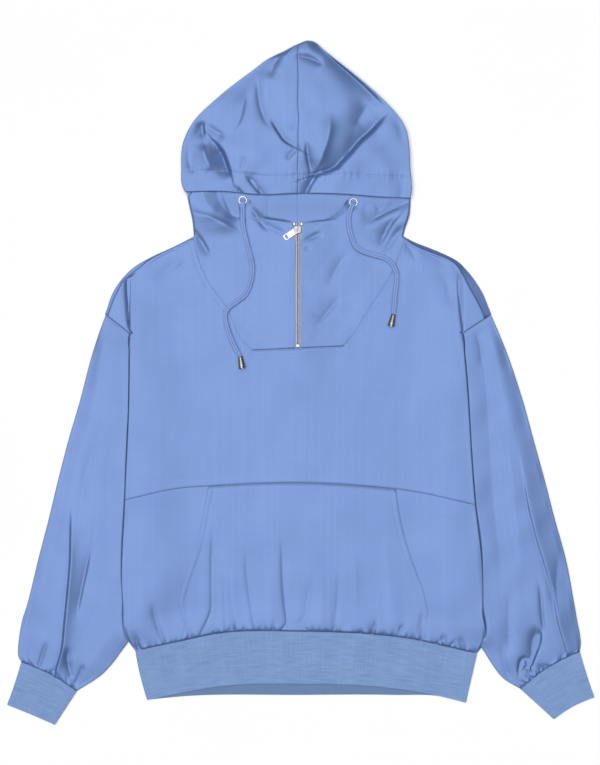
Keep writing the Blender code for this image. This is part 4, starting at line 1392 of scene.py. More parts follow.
    def build_cuff(self) -> None:
        """Builds the rib cuff."""
        up = self.upwards()
        seam = np.array(self.table[-1], float) - np.tile(up * 0.1, 2)
        foot = np.array(self.cuff_foot, float)
        share = steps(66, 2.6, True, True)[:, None]
        outer, inner = mix(seam[:2], foot[:2], share), mix(seam[2:], foot[2:], share)
        outer = outer - up[::-1] * (1, -1) * 4 * share * (1 - share) * 0.8 * self.side.value
        tops = np.linspace(0, 1, 40)
        top = 4.55 + 0.5 * np.sin(math.pi * tops) * np.sin(math.pi * share)
        if self.side is Side.RIGHT:
            x, y = (mix(outer[:, k:k + 1], inner[:, k:k + 1], tops) for k in (0, 1))
            top = top + Fold(((534, 689), (559.5, 713)), -0.9, 4, 2.5, 0.5, 1.0).rise(x, y)
        points = self.ring_points(outer, inner, top, tops, 1.2, mix(*self.bow, share[:, 0]))
        cloth = Cloth(f"cuff_{self.side.word}_knit")
        cloth.add(points, joined(along(points[len(points) // 2]), share * 66), ring=True)
        cloth.piece(self.wardrobe.rib, f"cuff_{self.side.word}", RIB_WALL, upwards=False)


@dataclass
class HemBand:
    """The rib tube at the foot of the body; its back layer reaches lower than its front.

    Attributes:
        depth: Depth of the band.
        radius: How far its rounded sides reach in.
        front_edge: Y of the front layer's free edge, by X.
        back_edge: The same of the back layer.
    """

    pattern: BodyPattern
    wardrobe: Wardrobe
    depth: float = 76.0
    radius: float = 1.2
    front_edge: Trace = Trace(((-222, -461), (-155, -447), (-119, -441), (0, -437), (110, -441), (188, -452),
                               (241, -465)))
    back_edge: Trace = Trace(((-222, -461), (-170, -456), (0, -454), (133, -454), (210, -457), (241, -465)))

    def build(self) -> None:
        """Builds the band."""
        share = steps(self.depth, 2.8, True, True)[:, None]
        left = mix(-239.0, -222.0, share) - 1.6 * np.sin(math.pi * share) + self.radius
        right = mix(257.0, 241.0, share) - self.radius
        x = mix(left, right, np.linspace(0, 1, 190))
        seam = self.pattern.hem.at(x) - SEAM
        front_y, back_y = (mix(seam, edge.at(x), share) for edge in (self.front_edge, self.back_edge))
        top = 4.5 + unevenness(x, front_y, 60, 0.25, 12) + 0.4 * np.sin(math.pi * share)
        top += 2.2 * ease(share, 0.6, 1.0) * swell(x - 10, 130, 215)
        top += Fold(((217, 640), (217, 682)), -0.35, 3, 3, 0.5, 0.5).rise(x, front_y)
        front, back = joined(x, front_y, top), joined(x, back_y, OFF_TABLE)
        out = np.tile([self.radius, 0.0, 0.0], (len(share), 1))
        points = np.concatenate([front, rolled(back[:, -1], front[:, -1], out, HALF_TURN[::-1]),
                                 back[:, ::-4], rolled(back[:, 0], front[:, 0], -out, HALF_TURN)], axis=1)
        # Offset of the back layer's weave map, which the rib material reads to paint the back layer darker as
        # shade.
        painted_shade_offset = 1000.0 * (np.arange(points.shape[1]) >= x.shape[1] + len(HALF_TURN))
        cloth = Cloth("hem_band_knit")
        cloth.add(points, joined(along(points[len(points) // 2]), share * self.depth + painted_shade_offset), ring=True)
        cloth.piece(self.wardrobe.rib, "hem_band", RIB_WALL, upwards=False)


# Hood and neck

HOOD_FOLDS = (
    Fold(((203.5, 121), (203.2, 131), (205, 139)), -2.8, 1.6, 12, 0.2, 0.4),
    Fold(((214, 142), (222, 153), (227, 166), (232, 180)), -7.2, 1.6, 16, 0.4, 0.2),
    Fold(((203, 143), (205, 156), (213, 174)), 3.4, 12, 9),
    Fold(((204, 124), (215, 131), (227, 139)), -2.2, 4, 13, 0.3, 0.0),
    Fold(((247, 88), (240.6, 120), (229, 137)), 1.3, 2.5, 18),
    Fold(((257, 72), (259, 100), (264, 118), (274, 134)), -2.4, 9, 5),
    Fold(((268, 116), (276.6, 130), (284.4, 141), (297, 149)), -3.0, 9, 1.4, 0.0, 0.6),
    Fold(((297, 106), (296, 122), (291, 136)), -1.2, 5, 12),
    Fold(((298.4, 150), (292, 154), (286, 162)), -1.7, 3, 5, 0.5, 0.0),
    Fold(((306, 140), (307.5, 156), (311, 173)), -2.9, 6, 2.6, 0.0, 0.3),
    Fold(((331, 112), (329, 135), (323.4, 153.8), (315, 174)), 3.6, 7, 14, 0.0, 0.4),
    Fold(((392, 108), (371, 130), (359, 141), (347, 155), (333, 168), (315, 175)), -7.5, 3.0, 22, 0.0, 0.5),
    Fold(((372, 104), (362, 114), (354, 130)), -2.6, 16, 12, 0.2, 0.3),
    Fold(((316, 176), (310, 185), (306, 194)), -3.6, 2.6, 8, 0.8, 0.9),
    Fold(((318, 173), (332, 169), (343, 163)), -1.8, 2.5, 3, 0.6, 0.0),
    Fold(((246, 175), (255, 186), (263, 196)), -2.8, 6, 2.4, 0.3, 0.9),
    Fold(((236, 188), (244, 196)), -2.4, 2, 3.5, 0.5, 0.9),
    Fold(((322, 50), (345, 70), (368, 90), (391, 113)), -3.2, 3, 17, 0.3, 0.0),
    Fold(((301, 57), (312, 60), (324, 67)), -3.0, 5, 7, 0.8, 0.0),
    Fold(((284, 54), (274, 66), (270, 82)), -2.6, 9, 9, 0.2, 0.0),
    Fold(((398, 116), (405, 132), (408, 150)), -2.4, 2.5, 6),
    Fold(((410, 168), (410, 184), (408, 200)), -2.4, 4, 15, 0.0, 0.9),
    Fold(((190, 146), (188, 160), (194, 176)), -1.8, 9, 7),
    Fold(((246, 156), (241, 171)), -1.0, 3, 5),
)

NECK_FOLDS = (
    Fold(((233, 190), (236, 204), (241, 222)), -5.4, 2.4, 26, 0.9, 0.3),
    Fold(((202, 188), (206, 203), (221, 215)), 2.2, 20, 10, 0.8, 0.3),
    Fold(((216, 188), (220, 203), (232, 219)), -0.8, 5, 9, 0.9, 0.3),
    Fold(((190, 212), (214, 219), (244, 236)), 2.6, 6, 11, 0.6, 0.0),
    Fold(((250, 204), (258, 218), (270, 234)), -2.4, 5, 3),
    Fold(((196, 232), (204, 244), (211, 257)), -2.8, 1.4, 9, 0.4, 0.0),
    Fold(((408, 202), (386, 212), (362, 226)), -4.0, 6, 16, 0.6, 0.0),
    Fold(((379, 190), (381, 200), (378, 212)), -2.6, 4, 14, 0.8, 0.2),
    Fold(((400, 214), (390, 225), (379, 248)), -3.4, 2.5, 9, 0.3, 0.0),
    Fold(((407, 222), (392, 240), (384, 256)), -2.0, 5, 5),
    Fold(((349, 250), (338, 268), (326, 290)), -1.3, 4, 9),
    Fold(((343, 294), (330, 310), (314, 329)), -1.6, 3, 11),
    Fold(((303, 242), (312, 237), (324, 231)), -1.8, 2.5, 4, 0.3, 0.0),
    Fold(((304, 250), (311, 247)), -1.2, 2.5, 3, 0.3, 0.0),
    Fold(((262, 222), (276, 230), (287, 235)), -1.4, 4, 5),
)


@dataclass
class HoodPattern:
    """Outlines and seams of the hood.

    The outlines of both sides give X by Y; crown, brow and channel give Y by X.

    Attributes:
        outline: The hood's outer folds.
        lower: The neck's outer edges.
        channel: The stitches above the brow's edge.
        throat: The inserts' inner edges down to the zip's foot.
        peak: Y at which the outer folds start from the crown.
    """

    crown: Trace = Trace(((-24, 479), (-14, 485), (-3, 490), (4, 493.5), (11, 495.5), (18, 494.5),
                          (24, 490.5), (34, 481)))
    outline: dict[Side, Trace] = field(default_factory=lambda: pair(
        ((485, -14), (481, -20), (467, -48), (452, -68), (438, -87), (409, -122), (380, -152), (351, -168),
         (307, -172), (286, -171), (276, -167)),
        ((494.6, 18), (490.5, 24), (481, 34), (467, 51), (438, 87), (409, 120), (380, 146), (365, 154),
         (351, 157), (307, 160), (278, 162), (266, 160))))
    lower: dict[Side, Trace] = field(default_factory=lambda: pair(
        ((276, -165), (249, -159.5), (238, -157), (212, -154)),
        ((268, 161), (242, 159), (220, 152), (212, 150))))
    brow: Trace = Trace(((-167, 276), (-116, 277), (-54, 272), (-3, 274), (75, 272), (112, 269), (160, 267)))
    channel: Trace = Trace(((-167, 306), (-109, 304.5), (-54, 298.5), (-10, 298.5), (28, 301.5), (100, 298.5),
                            (158, 296)))
    throat: dict[Side, Trace] = field(default_factory=lambda: pair(
        ((288, -92), (270, -77), (252, -64), (242, -52), (238, -44), (234, -20), (232, -12), (226, -10.6),
         (222, -9.5), (212, -9.5), (204, -7.4), (40, -7.4)),
        ((288, 84), (262, 67), (245, 52), (238, 42), (234, 35), (232, 6), (226, 4.4), (222, 2.9), (212, 2.9),
         (204, 1.4), (40, 1.4)), (232, 234, 204)))
    peak: dict[Side, float] = field(default_factory=lambda: {Side.LEFT: 485.0, Side.RIGHT: 494.6})


@dataclass
class Hood:
    """The two hood panels and the neck inserts that their sides run on into.

    Attributes:
        brow_height: Height of the hood's upper layer at its edges.
        rise: How far it stands higher in the middle.
        roll: How far its rounded outer folds reach in.
        back_height: Height of its lower layer.
        crown_round: How far the roundness of the crown's edge reaches down.
    """

    pattern: HoodPattern
    body: BodyPattern
    wardrobe: Wardrobe
    brow_height: float = 11.5
    rise: float = 4.0
    roll: float = 1.1
    back_height: float = 0.75
    crown_round: float = 4.0

    def brow_face(self, x: Grid, y: Grid, share: Grid) -> Grid:
        """Height of the hood's upper layer.

        Args:
            x: Places across.
            y: Places along.
            share: Share of the way from the middle seam to the outer edge.

        Returns:
            The height at each place.
        """
        above = y - self.pattern.brow.at(x)
        height = self.brow_height + self.rise * swell(share, 0.4, 1.0) * ease(above, -12, 60)
        height -= 0.45 * hump(x - CENTRE, 0.8)
        from_channel = y - self.pattern.channel.at(x)
        height -= 0.3 * hump(from_channel, 1.2)
        height += 0.2 * hump(from_channel - 4, 3)
        calm = ease(share, 1.0, 0.9)
        puckers = Gathering(-165, 160, 6, 9, 0.6, 31)
        height += puckers.rise(x, np.abs(from_channel)) * calm
        return height + (folds_rise(HOOD_FOLDS, x, y) + unevenness(x, y, 55, 0.45, 14)) * calm

    def build_half(self, side: Side) -> None:
        """Builds one hood panel: the brow layer, its rolled edge and the back layer down to the neck."""
        pattern = self.pattern
        down = steps(215, 1.5, False, True)
        top = pattern.peak[side]
        edge_y = mix(top, float(pattern.brow.at(160.0 * side.value)), down**1.15)
        edge_x = pattern.outline[side].at(edge_y)
        radius = side.value * np.minimum(self.roll, np.abs(edge_x - CENTRE) * 0.25)
        start = edge_x - radius

        def layer(shares: Grid) -> tuple[Grid, Grid, Grid]:
            """X and Y of a layer's points by their shares of the way outwards, and Y of its crown."""
            x = mix(CENTRE, start[:, None], shares)
            crown = pattern.crown.at(x[0])
            crown = crown + (top - crown[np.argmax(shares)]) * shares**3
            return x, mix(crown, pattern.brow.at(x), (down**1.15)[:, None]), crown

        share = steps(165, 1.6, True, True)
        x, y, crown = layer(share)
        z = self.brow_face(x, y, np.repeat(share[None, :], len(down), axis=0))
        z -= 2.6 * ease(down, 0.12, 0.0)[:, None]
        near_crown = np.clip((crown - y) / self.crown_round, 0.0, 1.0)
        z = mix(1.6, z, np.sqrt(1 - (1 - near_crown) ** 2))
        upper = joined(x, y, z)
        lower = upper[:, -1] * (1, 1, 0) + (0, 0, self.back_height)
        turns = np.linspace(math.pi / 2, -math.pi / 2, 10)[1:-1]
        roll = rolled(lower, upper[:, -1], joined(radius, 0.0, 0.0), turns)
        cloth = Cloth(f"hood_{side.word}_cloth")
        back = joined(*layer(np.linspace(1, 0, 26))[:2], self.back_height)
        cloth.add(np.concatenate([upper, roll, back], axis=1))
        cloth.add(self.hem(x[-1], z[-1]))
        cloth.add(self.lower_back(side, start[-1]))
        cloth.piece(self.wardrobe.satin, f"hood_{side.word}", weld=True)

    def hem(self, x: Grid, top: Grid) -> Grid:
        """The turned hem of the brow: round its edge and back under it."""
        edge = self.pattern.brow.at(x)
        rows = [joined(x, edge - 1.3 * math.cos(turn), top - 1.2 + 1.2 * math.sin(turn))
                for turn in np.linspace(math.pi / 2, -math.pi / 2, 7)]
        return np.stack(rows + [joined(x, edge + back, top - 2.4) for back in (5.0, 12.0, 20.0)])

    def lower_back(self, side: Side, start: float) -> Grid:
        """The inside of the hood's back that shows in the throat, down to the neck seam."""
        down = steps(72, 2.6)[:, None]
        outer = mix(start, self.pattern.lower[side].at(212.0) - side.value * 5, down)
        x = mix(CENTRE, outer, steps(152, 3.4, True, False))
        y = mix(self.pattern.brow.at(x) + 4, 200 + 12 * (x / 154) ** 2, down)
        z = 1.1 + 4.6 * ease(down, 0.62, 0.0) + 0.5 * swell(x - CENTRE, 20, 110)
        z -= 0.2 * hump(x - CENTRE, 0.9)
        z += folds_rise((Fold(((270, 190), (270, 222)), -0.9, 2.5, 6, 0.6, 0.8),), x, y)
        return joined(x, y, z)

    def insert_face(self, x: Grid, y: Grid) -> Grid:
        """Height of a neck insert before its seams."""
        return (self.body.front_top(x, y) + (1.0 + 2.6 * ease(np.abs(x), 92, 112)) * ease(y, 206, 240)
                + folds_rise(NECK_FOLDS, x, y)
                + unevenness(x, y, 60, 0.3, 17) + unevenness(x, y, 20, 0.08, 18))

    def build_insert(self, side: Side, eyelet: tuple[float, float]) -> None:
        """Builds one neck insert, from under the brow to its foot beside the zip.

        Args:
            side: The side of the garment.
            eyelet: Middle of the hole for its eyelet.
        """
        foot = self.body.insert_foot[side] + 0.3
        y = mix(288.0, foot, steps(288 - foot, 1.9, False, True))
        neck = self.pattern.lower[side].at(y) - side.value * 6 * ease(y, 268, 276)
        outer = mix(neck, self.body.insert[side].at(y), ease(y, 212, 206))[:, None]
        inner = self.pattern.throat[side].at(y)[:, None]
        x = mix(outer, inner, steps(95, 1.9, True, True))
        foot_line = self.body.foot.at(x) + SEAM
        yy = np.repeat(y[:, None], x.shape[1], axis=1)
        yy = mix(yy, mix(288.0, foot_line, ((288 - y) / (288 - foot))[:, None]), ease(yy, 110, foot))
        from_outer, from_inner = np.abs(x - outer), np.abs(x - inner)
        roll = ease(y, 208, 214)[:, None]
        z = mix(self.insert_face(x, yy), 1.3, roll * np.exp(-((from_outer / 1.1) ** 1.6)))
        z -= (1 - roll) * 0.2 * hump(from_outer, 0.9)
        z -= 0.7 * hump(yy - foot_line, 0.8)
        rim = ease(y, 230, 236)[:, None]
        z += rim * (1.6 * hump(from_inner, 9) - 0.25 * hump(from_inner - 4.2, 1))
        away = np.hypot(x - eyelet[0], yy - eyelet[1])
        z = mix(self.body.front_top(x, yy), z, ease(away, 6.5, 14))
        cloth = Cloth(f"neck_insert_{side.word}_cloth")
        cloth.add(joined(x, yy, z), hole=(*eyelet, 4.6))
        cloth.piece(self.wardrobe.satin, f"neck_insert_{side.word}")


# Hard pieces


class Bench:
    """Works one hard piece with modelling tools, from a block, a ring or a sheet to its shape."""

    def __init__(self, name: str) -> None:
        """Clears the bench for a new piece."""
        self.name = name
        bpy.ops.object.select_all(action="DESELECT")

    def _take(self) -> "Bench":
        """Names the piece on the bench and opens it for work."""
        self.piece = bpy.context.object
        self.piece.name = self.piece.data.name = self.name
        bpy.ops.object.transform_apply(location=True, rotation=True, scale=True)
        bpy.ops.object.mode_set(mode="EDIT")
        bpy.ops.mesh.select_all(action="DESELECT")
        return self

    def block(self, low: Sequence[float], high: Sequence[float]) -> "Bench":
        """Starts with a block between two corners."""
        middle = [(a + b) / 2 * MM for a, b in zip(low, high)]
        size = [(b - a) * MM for a, b in zip(low, high)]
        bpy.ops.mesh.primitive_cube_add(size=1, location=middle, scale=size)
        return self._take()

    def sheet(self, low: Sequence[float], high: Sequence[float], height: float) -> "Bench":
        """Starts with a flat sheet between two corners at a height."""
        middle = [(a + b) / 2 * MM for a, b in zip(low, high)]
        bpy.ops.mesh.primitive_plane_add(size=1, location=(*middle, height * MM))
        bpy.context.object.scale = (*((b - a) * MM for a, b in zip(low, high)), 1)
        return self._take()

    def choose(self, test: Callable[[Vector, Vector], bool], edges: bool = False) -> "Bench":
        """Selects the faces or the edges that pass a test.

        Args:
            test: Takes the middle, and a face's normal or an edge's direction.
            edges: Whether edges are chosen.

        Returns:
            The bench.
        """
        bpy.ops.mesh.select_mode(type="EDGE" if edges else "FACE")
        bpy.ops.mesh.select_all(action="DESELECT")
        bm = bmesh.from_edit_mesh(self.piece.data)
        for edge in bm.edges if edges else ():
            a, b = (v.co / MM for v in edge.verts)
            edge.select = test((a + b) / 2, (b - a).normalized())
        for face in () if edges else bm.faces:
            face.select = test(face.calc_center_median() / MM, face.normal)
        if not edges:
            bm.select_flush_mode()
        bmesh.update_edit_mesh(self.piece.data)
        return self

    def pull(self, way: Sequence[float]) -> "Bench":
        """Extrudes the chosen faces by a way."""
        bpy.ops.mesh.extrude_region_move(TRANSFORM_OT_translate={"value": [a * MM for a in way]})
        return self

    def inset(self, margin: float, depth: float = 0.0) -> "Bench":
        """Insets the chosen faces by a margin and a depth."""
        bpy.ops.mesh.inset(thickness=margin * MM, depth=depth * MM)
        return self

    def scale(self, factors: Sequence[float], about: Sequence[float]) -> "Bench":
        """Scales the chosen part about a point."""
        bpy.ops.transform.resize(value=factors, center_override=[a * MM for a in about])
        return self

    def bevel(self, width: float, segments: int) -> "Bench":
        """Rounds the chosen edges."""
        bpy.ops.mesh.bevel(offset=width * MM, segments=segments, profile=0.5, affect="EDGES")
        return self

    def slice(self, axis: int, places: Iterable[float]) -> "Bench":
        """Cuts new edges through the whole piece across an axis at places."""
        normal = [float(axis == k) for k in range(3)]
        for place in places:
            bpy.ops.mesh.select_all(action="SELECT")
            bpy.ops.mesh.bisect(plane_co=[place * MM * n for n in normal], plane_no=normal, flip=False)
        return self

    def spin(self, profile: Sequence[tuple[float, float]], count: int) -> "Bench":
        """Turns a closed profile about the Z axis.

        Args:
            profile: Radius and height of its points in order.
            count: Sides of the turned piece.

        Returns:
            The bench.
        """
        bpy.ops.mesh.primitive_plane_add(size=0.001)
        self._take()
        bpy.ops.mesh.select_all(action="SELECT")
        bpy.ops.mesh.delete(type="VERT")
        bm = bmesh.from_edit_mesh(self.piece.data)
        dots = [bm.verts.new((r * MM, 0, z * MM)) for r, z in profile]
        for a, b in zip(dots, dots[1:] + dots[:1]):
            bm.edges.new((a, b))
        bmesh.update_edit_mesh(self.piece.data)
        bpy.ops.mesh.select_all(action="SELECT")
        bpy.ops.mesh.spin(steps=count, angle=2 * math.pi, center=(0, 0, 0), axis=(0, 0, 1))
        return self

    def finish(self, rounding: float = 0.0, segments: int = 2,
               place: Optional[Matrix] = None) -> Object:
        """Closes the piece, rounds its rims and puts it in its place.

        Args:
            rounding: Width of the rounded rims.
            segments: Faces across a rounded rim.
            place: Where the piece goes, in metres.

        Returns:
            The piece.
        """
        bpy.ops.mesh.select_all(action="SELECT")
        bpy.ops.mesh.remove_doubles(threshold=0.000004)
        bpy.ops.mesh.normals_make_consistent(inside=False)
        bpy.ops.object.mode_set(mode="OBJECT")
        if rounding:
            rim = self.piece.modifiers.new("Rounded rims", "BEVEL")
            rim.width = rounding * MM
            rim.segments = segments
            rim.limit_method = "ANGLE"
            rim.angle_limit = math.radians(35)
            bpy.ops.object.modifier_apply(modifier=rim.name)
        if place is not None:
            self.piece.matrix_world = place
            bpy.ops.object.transform_apply(location=True, rotation=True, scale=True)
        bpy.ops.object.shade_smooth_by_angle(angle=math.radians(40))
        return self.piece


def copies(template: Object, name: str, places: Iterable[Matrix]) -> Object:
    """Joins one copy of a small shape for each place into a piece.

    Args:
        template: The shape, modelled once about the origin; it is removed.
        name: Name of the piece.
        places: Where each copy goes.

    Returns:
        The new piece, still without a finish.
    """
    mesh = template.data
    points = np.zeros(len(mesh.vertices) * 3)
    mesh.vertices.foreach_get("co", points)
    points = np.hstack([points.reshape(-1, 3), np.ones((len(mesh.vertices), 1))])
    faces = [list(f.vertices) for f in mesh.polygons]
    found, joined = [], []
    for number, place in enumerate(places):
        found.append((points @ np.array(place).T)[:, :3])
        joined += [[i + number * len(points) for i in f] for f in faces]
    made = bpy.data.meshes.new(name)
    made.from_pydata(np.vstack(found).tolist(), [], joined)
    made.shade_smooth()
    bpy.data.objects.remove(template)
    return add_piece(name, made)


LEFT_ROUTE = ((-83, 251), (-83, 234), (-81, 220), (-77.5, 204), (-73, 186), (-69, 167), (-70.5, 147),
              (-78, 128), (-91, 117), (-103, 108), (-108.5, 97), (-106.5, 83),
              (-101.5, 67), (-94, 50), (-86.5, 37))


RIGHT_ROUTE = ((72.5, 248), (70.5, 238), (71, 226), (74, 212), (79, 199), (85, 192.5), (95, 187.5),
               (109, 183.5), (121, 180), (131.5, 173), (138.5, 161.5), (140, 149), (137.5, 124), (135.5, 98))


BELL_PROFILE = ((2.6, 0.0), (3.1, 0.15), (3.4, 0.9), (3.45, 2.4), (3.9, 6.5), (4.35, 11.5), (4.55, 14.6),
                (4.45, 15.2), (4.75, 15.7), (4.8, 16.7), (4.5, 17.4), (3.9, 17.5), (3.7, 16.6),
                (3.1, 8.0), (2.7, 3.0))


@dataclass
class Zip:
    """The neck zip: tapes, teeth, slider with its bridge, pull tab and stops.

    Attributes:
        foot: Y of the lowest tooth.
        top: Y of the chain's end at the slider.
        pitch: Distance between two teeth of one side.
        chain_height: Height of the teeth's middle.
        tape_reach: Y of the tapes' ends.
        heading: Which way the tab points, in degrees.
    """

    wardrobe: Wardrobe
    foot: float = 55.5
    top: float = 216.0
    pitch: float = 2.3
    chain_height: float = 4.6
    tape_width: float = 9.5
    tape_reach: tuple[float, float] = (46.5, 231.5)
    slider: tuple[float, float] = (-3.6, 220.7)
    heading: float = 213.4

    def build(self) -> None:
        """Builds the whole zip."""
        self.build_tapes()
        self.build_teeth()
        self.build_slider()
        self.build_tab()
        self.build_stops()

    def build_tapes(self) -> None:
        """Builds both woven tapes with the thick cord edge that carries the teeth."""
        across = np.array([0.0, 0.02, 0.07, 0.13, 0.18, 0.24, 0.45, 0.7, 0.9, 1.0])
        thick = np.array([0.3, 0.6, 0.75, 0.6, 0.3, 0.1, 0.06, 0.06, 0.1, 0.0])
        for side in Side:
            x = CENTRE + side.value * mix(1.0, 3.5 + self.tape_width, across)
            cloth = Cloth(f"zip_tape_{side.word}_weave")
            cloth.add(joined(x, np.linspace(*self.tape_reach, 90)[:, None], 3.85 + thick))
            cloth.piece(self.wardrobe.tape, f"zip_tape_{side.word}", 0.5)

    def build_teeth(self) -> None:
        """Builds one tooth, then the closed chain of its copies."""
        bench = Bench("tooth").block((-2.7, -0.62, -1.0), (-0.1, 0.62, 1.0))
        bench.choose(lambda at, way: way.x > 0.9).inset(0.15).pull((0.9, 0, 0))
        tooth = bench.scale((1, 0.75, 0.7), (0.8, 0, 0)).finish(0.2, 1)
        places = []
        for number in range(int((self.top - self.foot) / self.pitch)):
            y = self.foot + 1.0 + number * self.pitch
            for spot, turn in ((y, 0.0), (y + self.pitch / 2, math.pi)):
                place = Matrix.Translation(Vector((CENTRE, spot, self.chain_height)) * MM)
                places.append(place @ Matrix.Rotation(turn, 4, "Z"))
        dress(copies(tooth, "zip_teeth", places), self.wardrobe.nickel, "zip_chain")

    def build_slider(self) -> None:
        """Builds the slider: a shaped top plate, a plate below, the post between and the bridge."""
        x, y = self.slider
        bench = Bench("slider_top").block((x - 4.6, y - 5.4, 5.9), (x + 4.6, y + 5.4, 7.1))
        bench.slice(1, (y - 2.0, y + 2.5))
        bench.choose(lambda at, way: way.y < -0.9).scale((0.72, 1, 1), (x, y, 6.5))
        bench.choose(lambda at, way: way.y > 0.9).scale((0.8, 1, 1), (x, y, 6.5))
        bench.choose(lambda at, way: abs(way.x) > 0.6).pull((0, 0, 0)).scale((1.12, 1, 1), (x, y, 6.5))
        bench.choose(lambda at, way: abs(way.x) > 0.6).pull((0, 0, -2.0))
        parts = [bench.finish(0.45, 3)]
        bench = Bench("slider_low").block((x - 4.6, y - 5.2, 1.9), (x + 4.6, y + 5.2, 2.9))
        bench.choose(lambda at, way: way.y < -0.9).scale((0.72, 1, 1), (x, y, 2.4))
        parts.append(bench.finish(0.3, 2))
        bench = Bench("slider_post").block((x - 1.2, y + 3.2, 2.6), (x + 1.2, y + 5.2, 6.2))
        bench.choose(lambda at, way: way.y < -0.9).scale((0.3, 1, 1), (x, y, 4))
        parts.append(bench.finish(0.2, 1))
        bench = Bench("slider_bridge").block((x - 0.7, y - 3.25, 6.9), (x + 0.7, y - 2.35, 9.4))
        bench.choose(lambda at, way: way.z > 0.9).pull((0, 0, 1.0))
        for reach in (4.7, 0.9):
            bench.choose(lambda at, way: way.y > 0.9 and at.z > 9.4).pull((0, reach, 0))
        bench.choose(lambda at, way: way.z < -0.9 and at.y > y + 2.3).pull((0, 0, -2.5))
        parts.append(bench.finish(0.35, 3))
        bpy.ops.object.select_all(action="DESELECT")
        for part in parts:
            part.select_set(True)
        top = bpy.context.view_layer.objects.active = parts[0]
        bpy.ops.object.join()
        top.name = top.data.name = "zip_slider_cast"
        dress(top, self.wardrobe.cast, "zip_slider")

    def build_tab(self) -> None:
        """Builds the flat pull tab with its eye and its slot."""
        bench = Bench("pull_tab_plate").sheet((-0.55, -4.25), (23.0, 4.25), -0.6)
        bench.slice(0, (0.55, 5.0, 17.1, 20.9)).slice(1, (-3.2, -2.9, 2.9, 3.2))
        bench.choose(lambda at, way: (0.55 < at.x < 5.0 and abs(at.y) < 3.2)
                     or (17.1 < at.x < 20.9 and abs(at.y) < 2.95))
        bpy.ops.mesh.delete(type="FACE")
        bench.choose(lambda at, way: True).pull((0, 0, 1.2))
        # Upright edges that are rounded: from and to along the tab, from and to aside, width, segments.
        rounded = ((22, 24, 4, 9, 1.6, 5), (-9, 0, 4, 9, 0.5, 3), (20, 21, -1, 3, 1.3, 4),
                   (4.9, 5.1, -1, 3.3, 0.8, 3))
        for low, high, inner, outer, width, segments in rounded:
            bench.choose(lambda at, way: abs(way.z) > 0.9 and low < at.x < high and inner < abs(at.y) < outer,
                         edges=True).bevel(width, segments)
        turn = Matrix.Rotation(math.radians(self.heading), 4, "Z")
        tab = bench.finish(0.22, 2, Matrix.Translation(Vector((*self.slider, 8.0)) * MM) @ turn)
        dress(tab, self.wardrobe.bright, "pull_tab", "tab")

    def build_stops(self) -> None:
        """Builds the stops, each a clamp bent over the tape's edge."""
        def clamp(name: str, low: Sequence[float], high: Sequence[float], margin: float, rim: float) -> None:
            """Builds one clamp between two corners, with its top face raised inside a margin."""
            bench = Bench(f"zip_stop_{name}_clamp").block(low, high).choose(lambda at, way: way.z > 0.9)
            bench.inset(margin, 0.25 if margin < 0.9 else 0.3)
            dress(bench.finish(rim, 3), self.wardrobe.bright, f"zip_stop_{name}")

        for side in Side:
            x = CENTRE + side.value * 5.4
            clamp(side.word, (x - 1.7, 227, 4.4), (x + 1.7, 231.4, 6.3), 0.6, 0.5)
        clamp("foot", (-5.9, 50.3, 3.2), (-0.1, 55.1, 5.8), 0.9, 0.6)


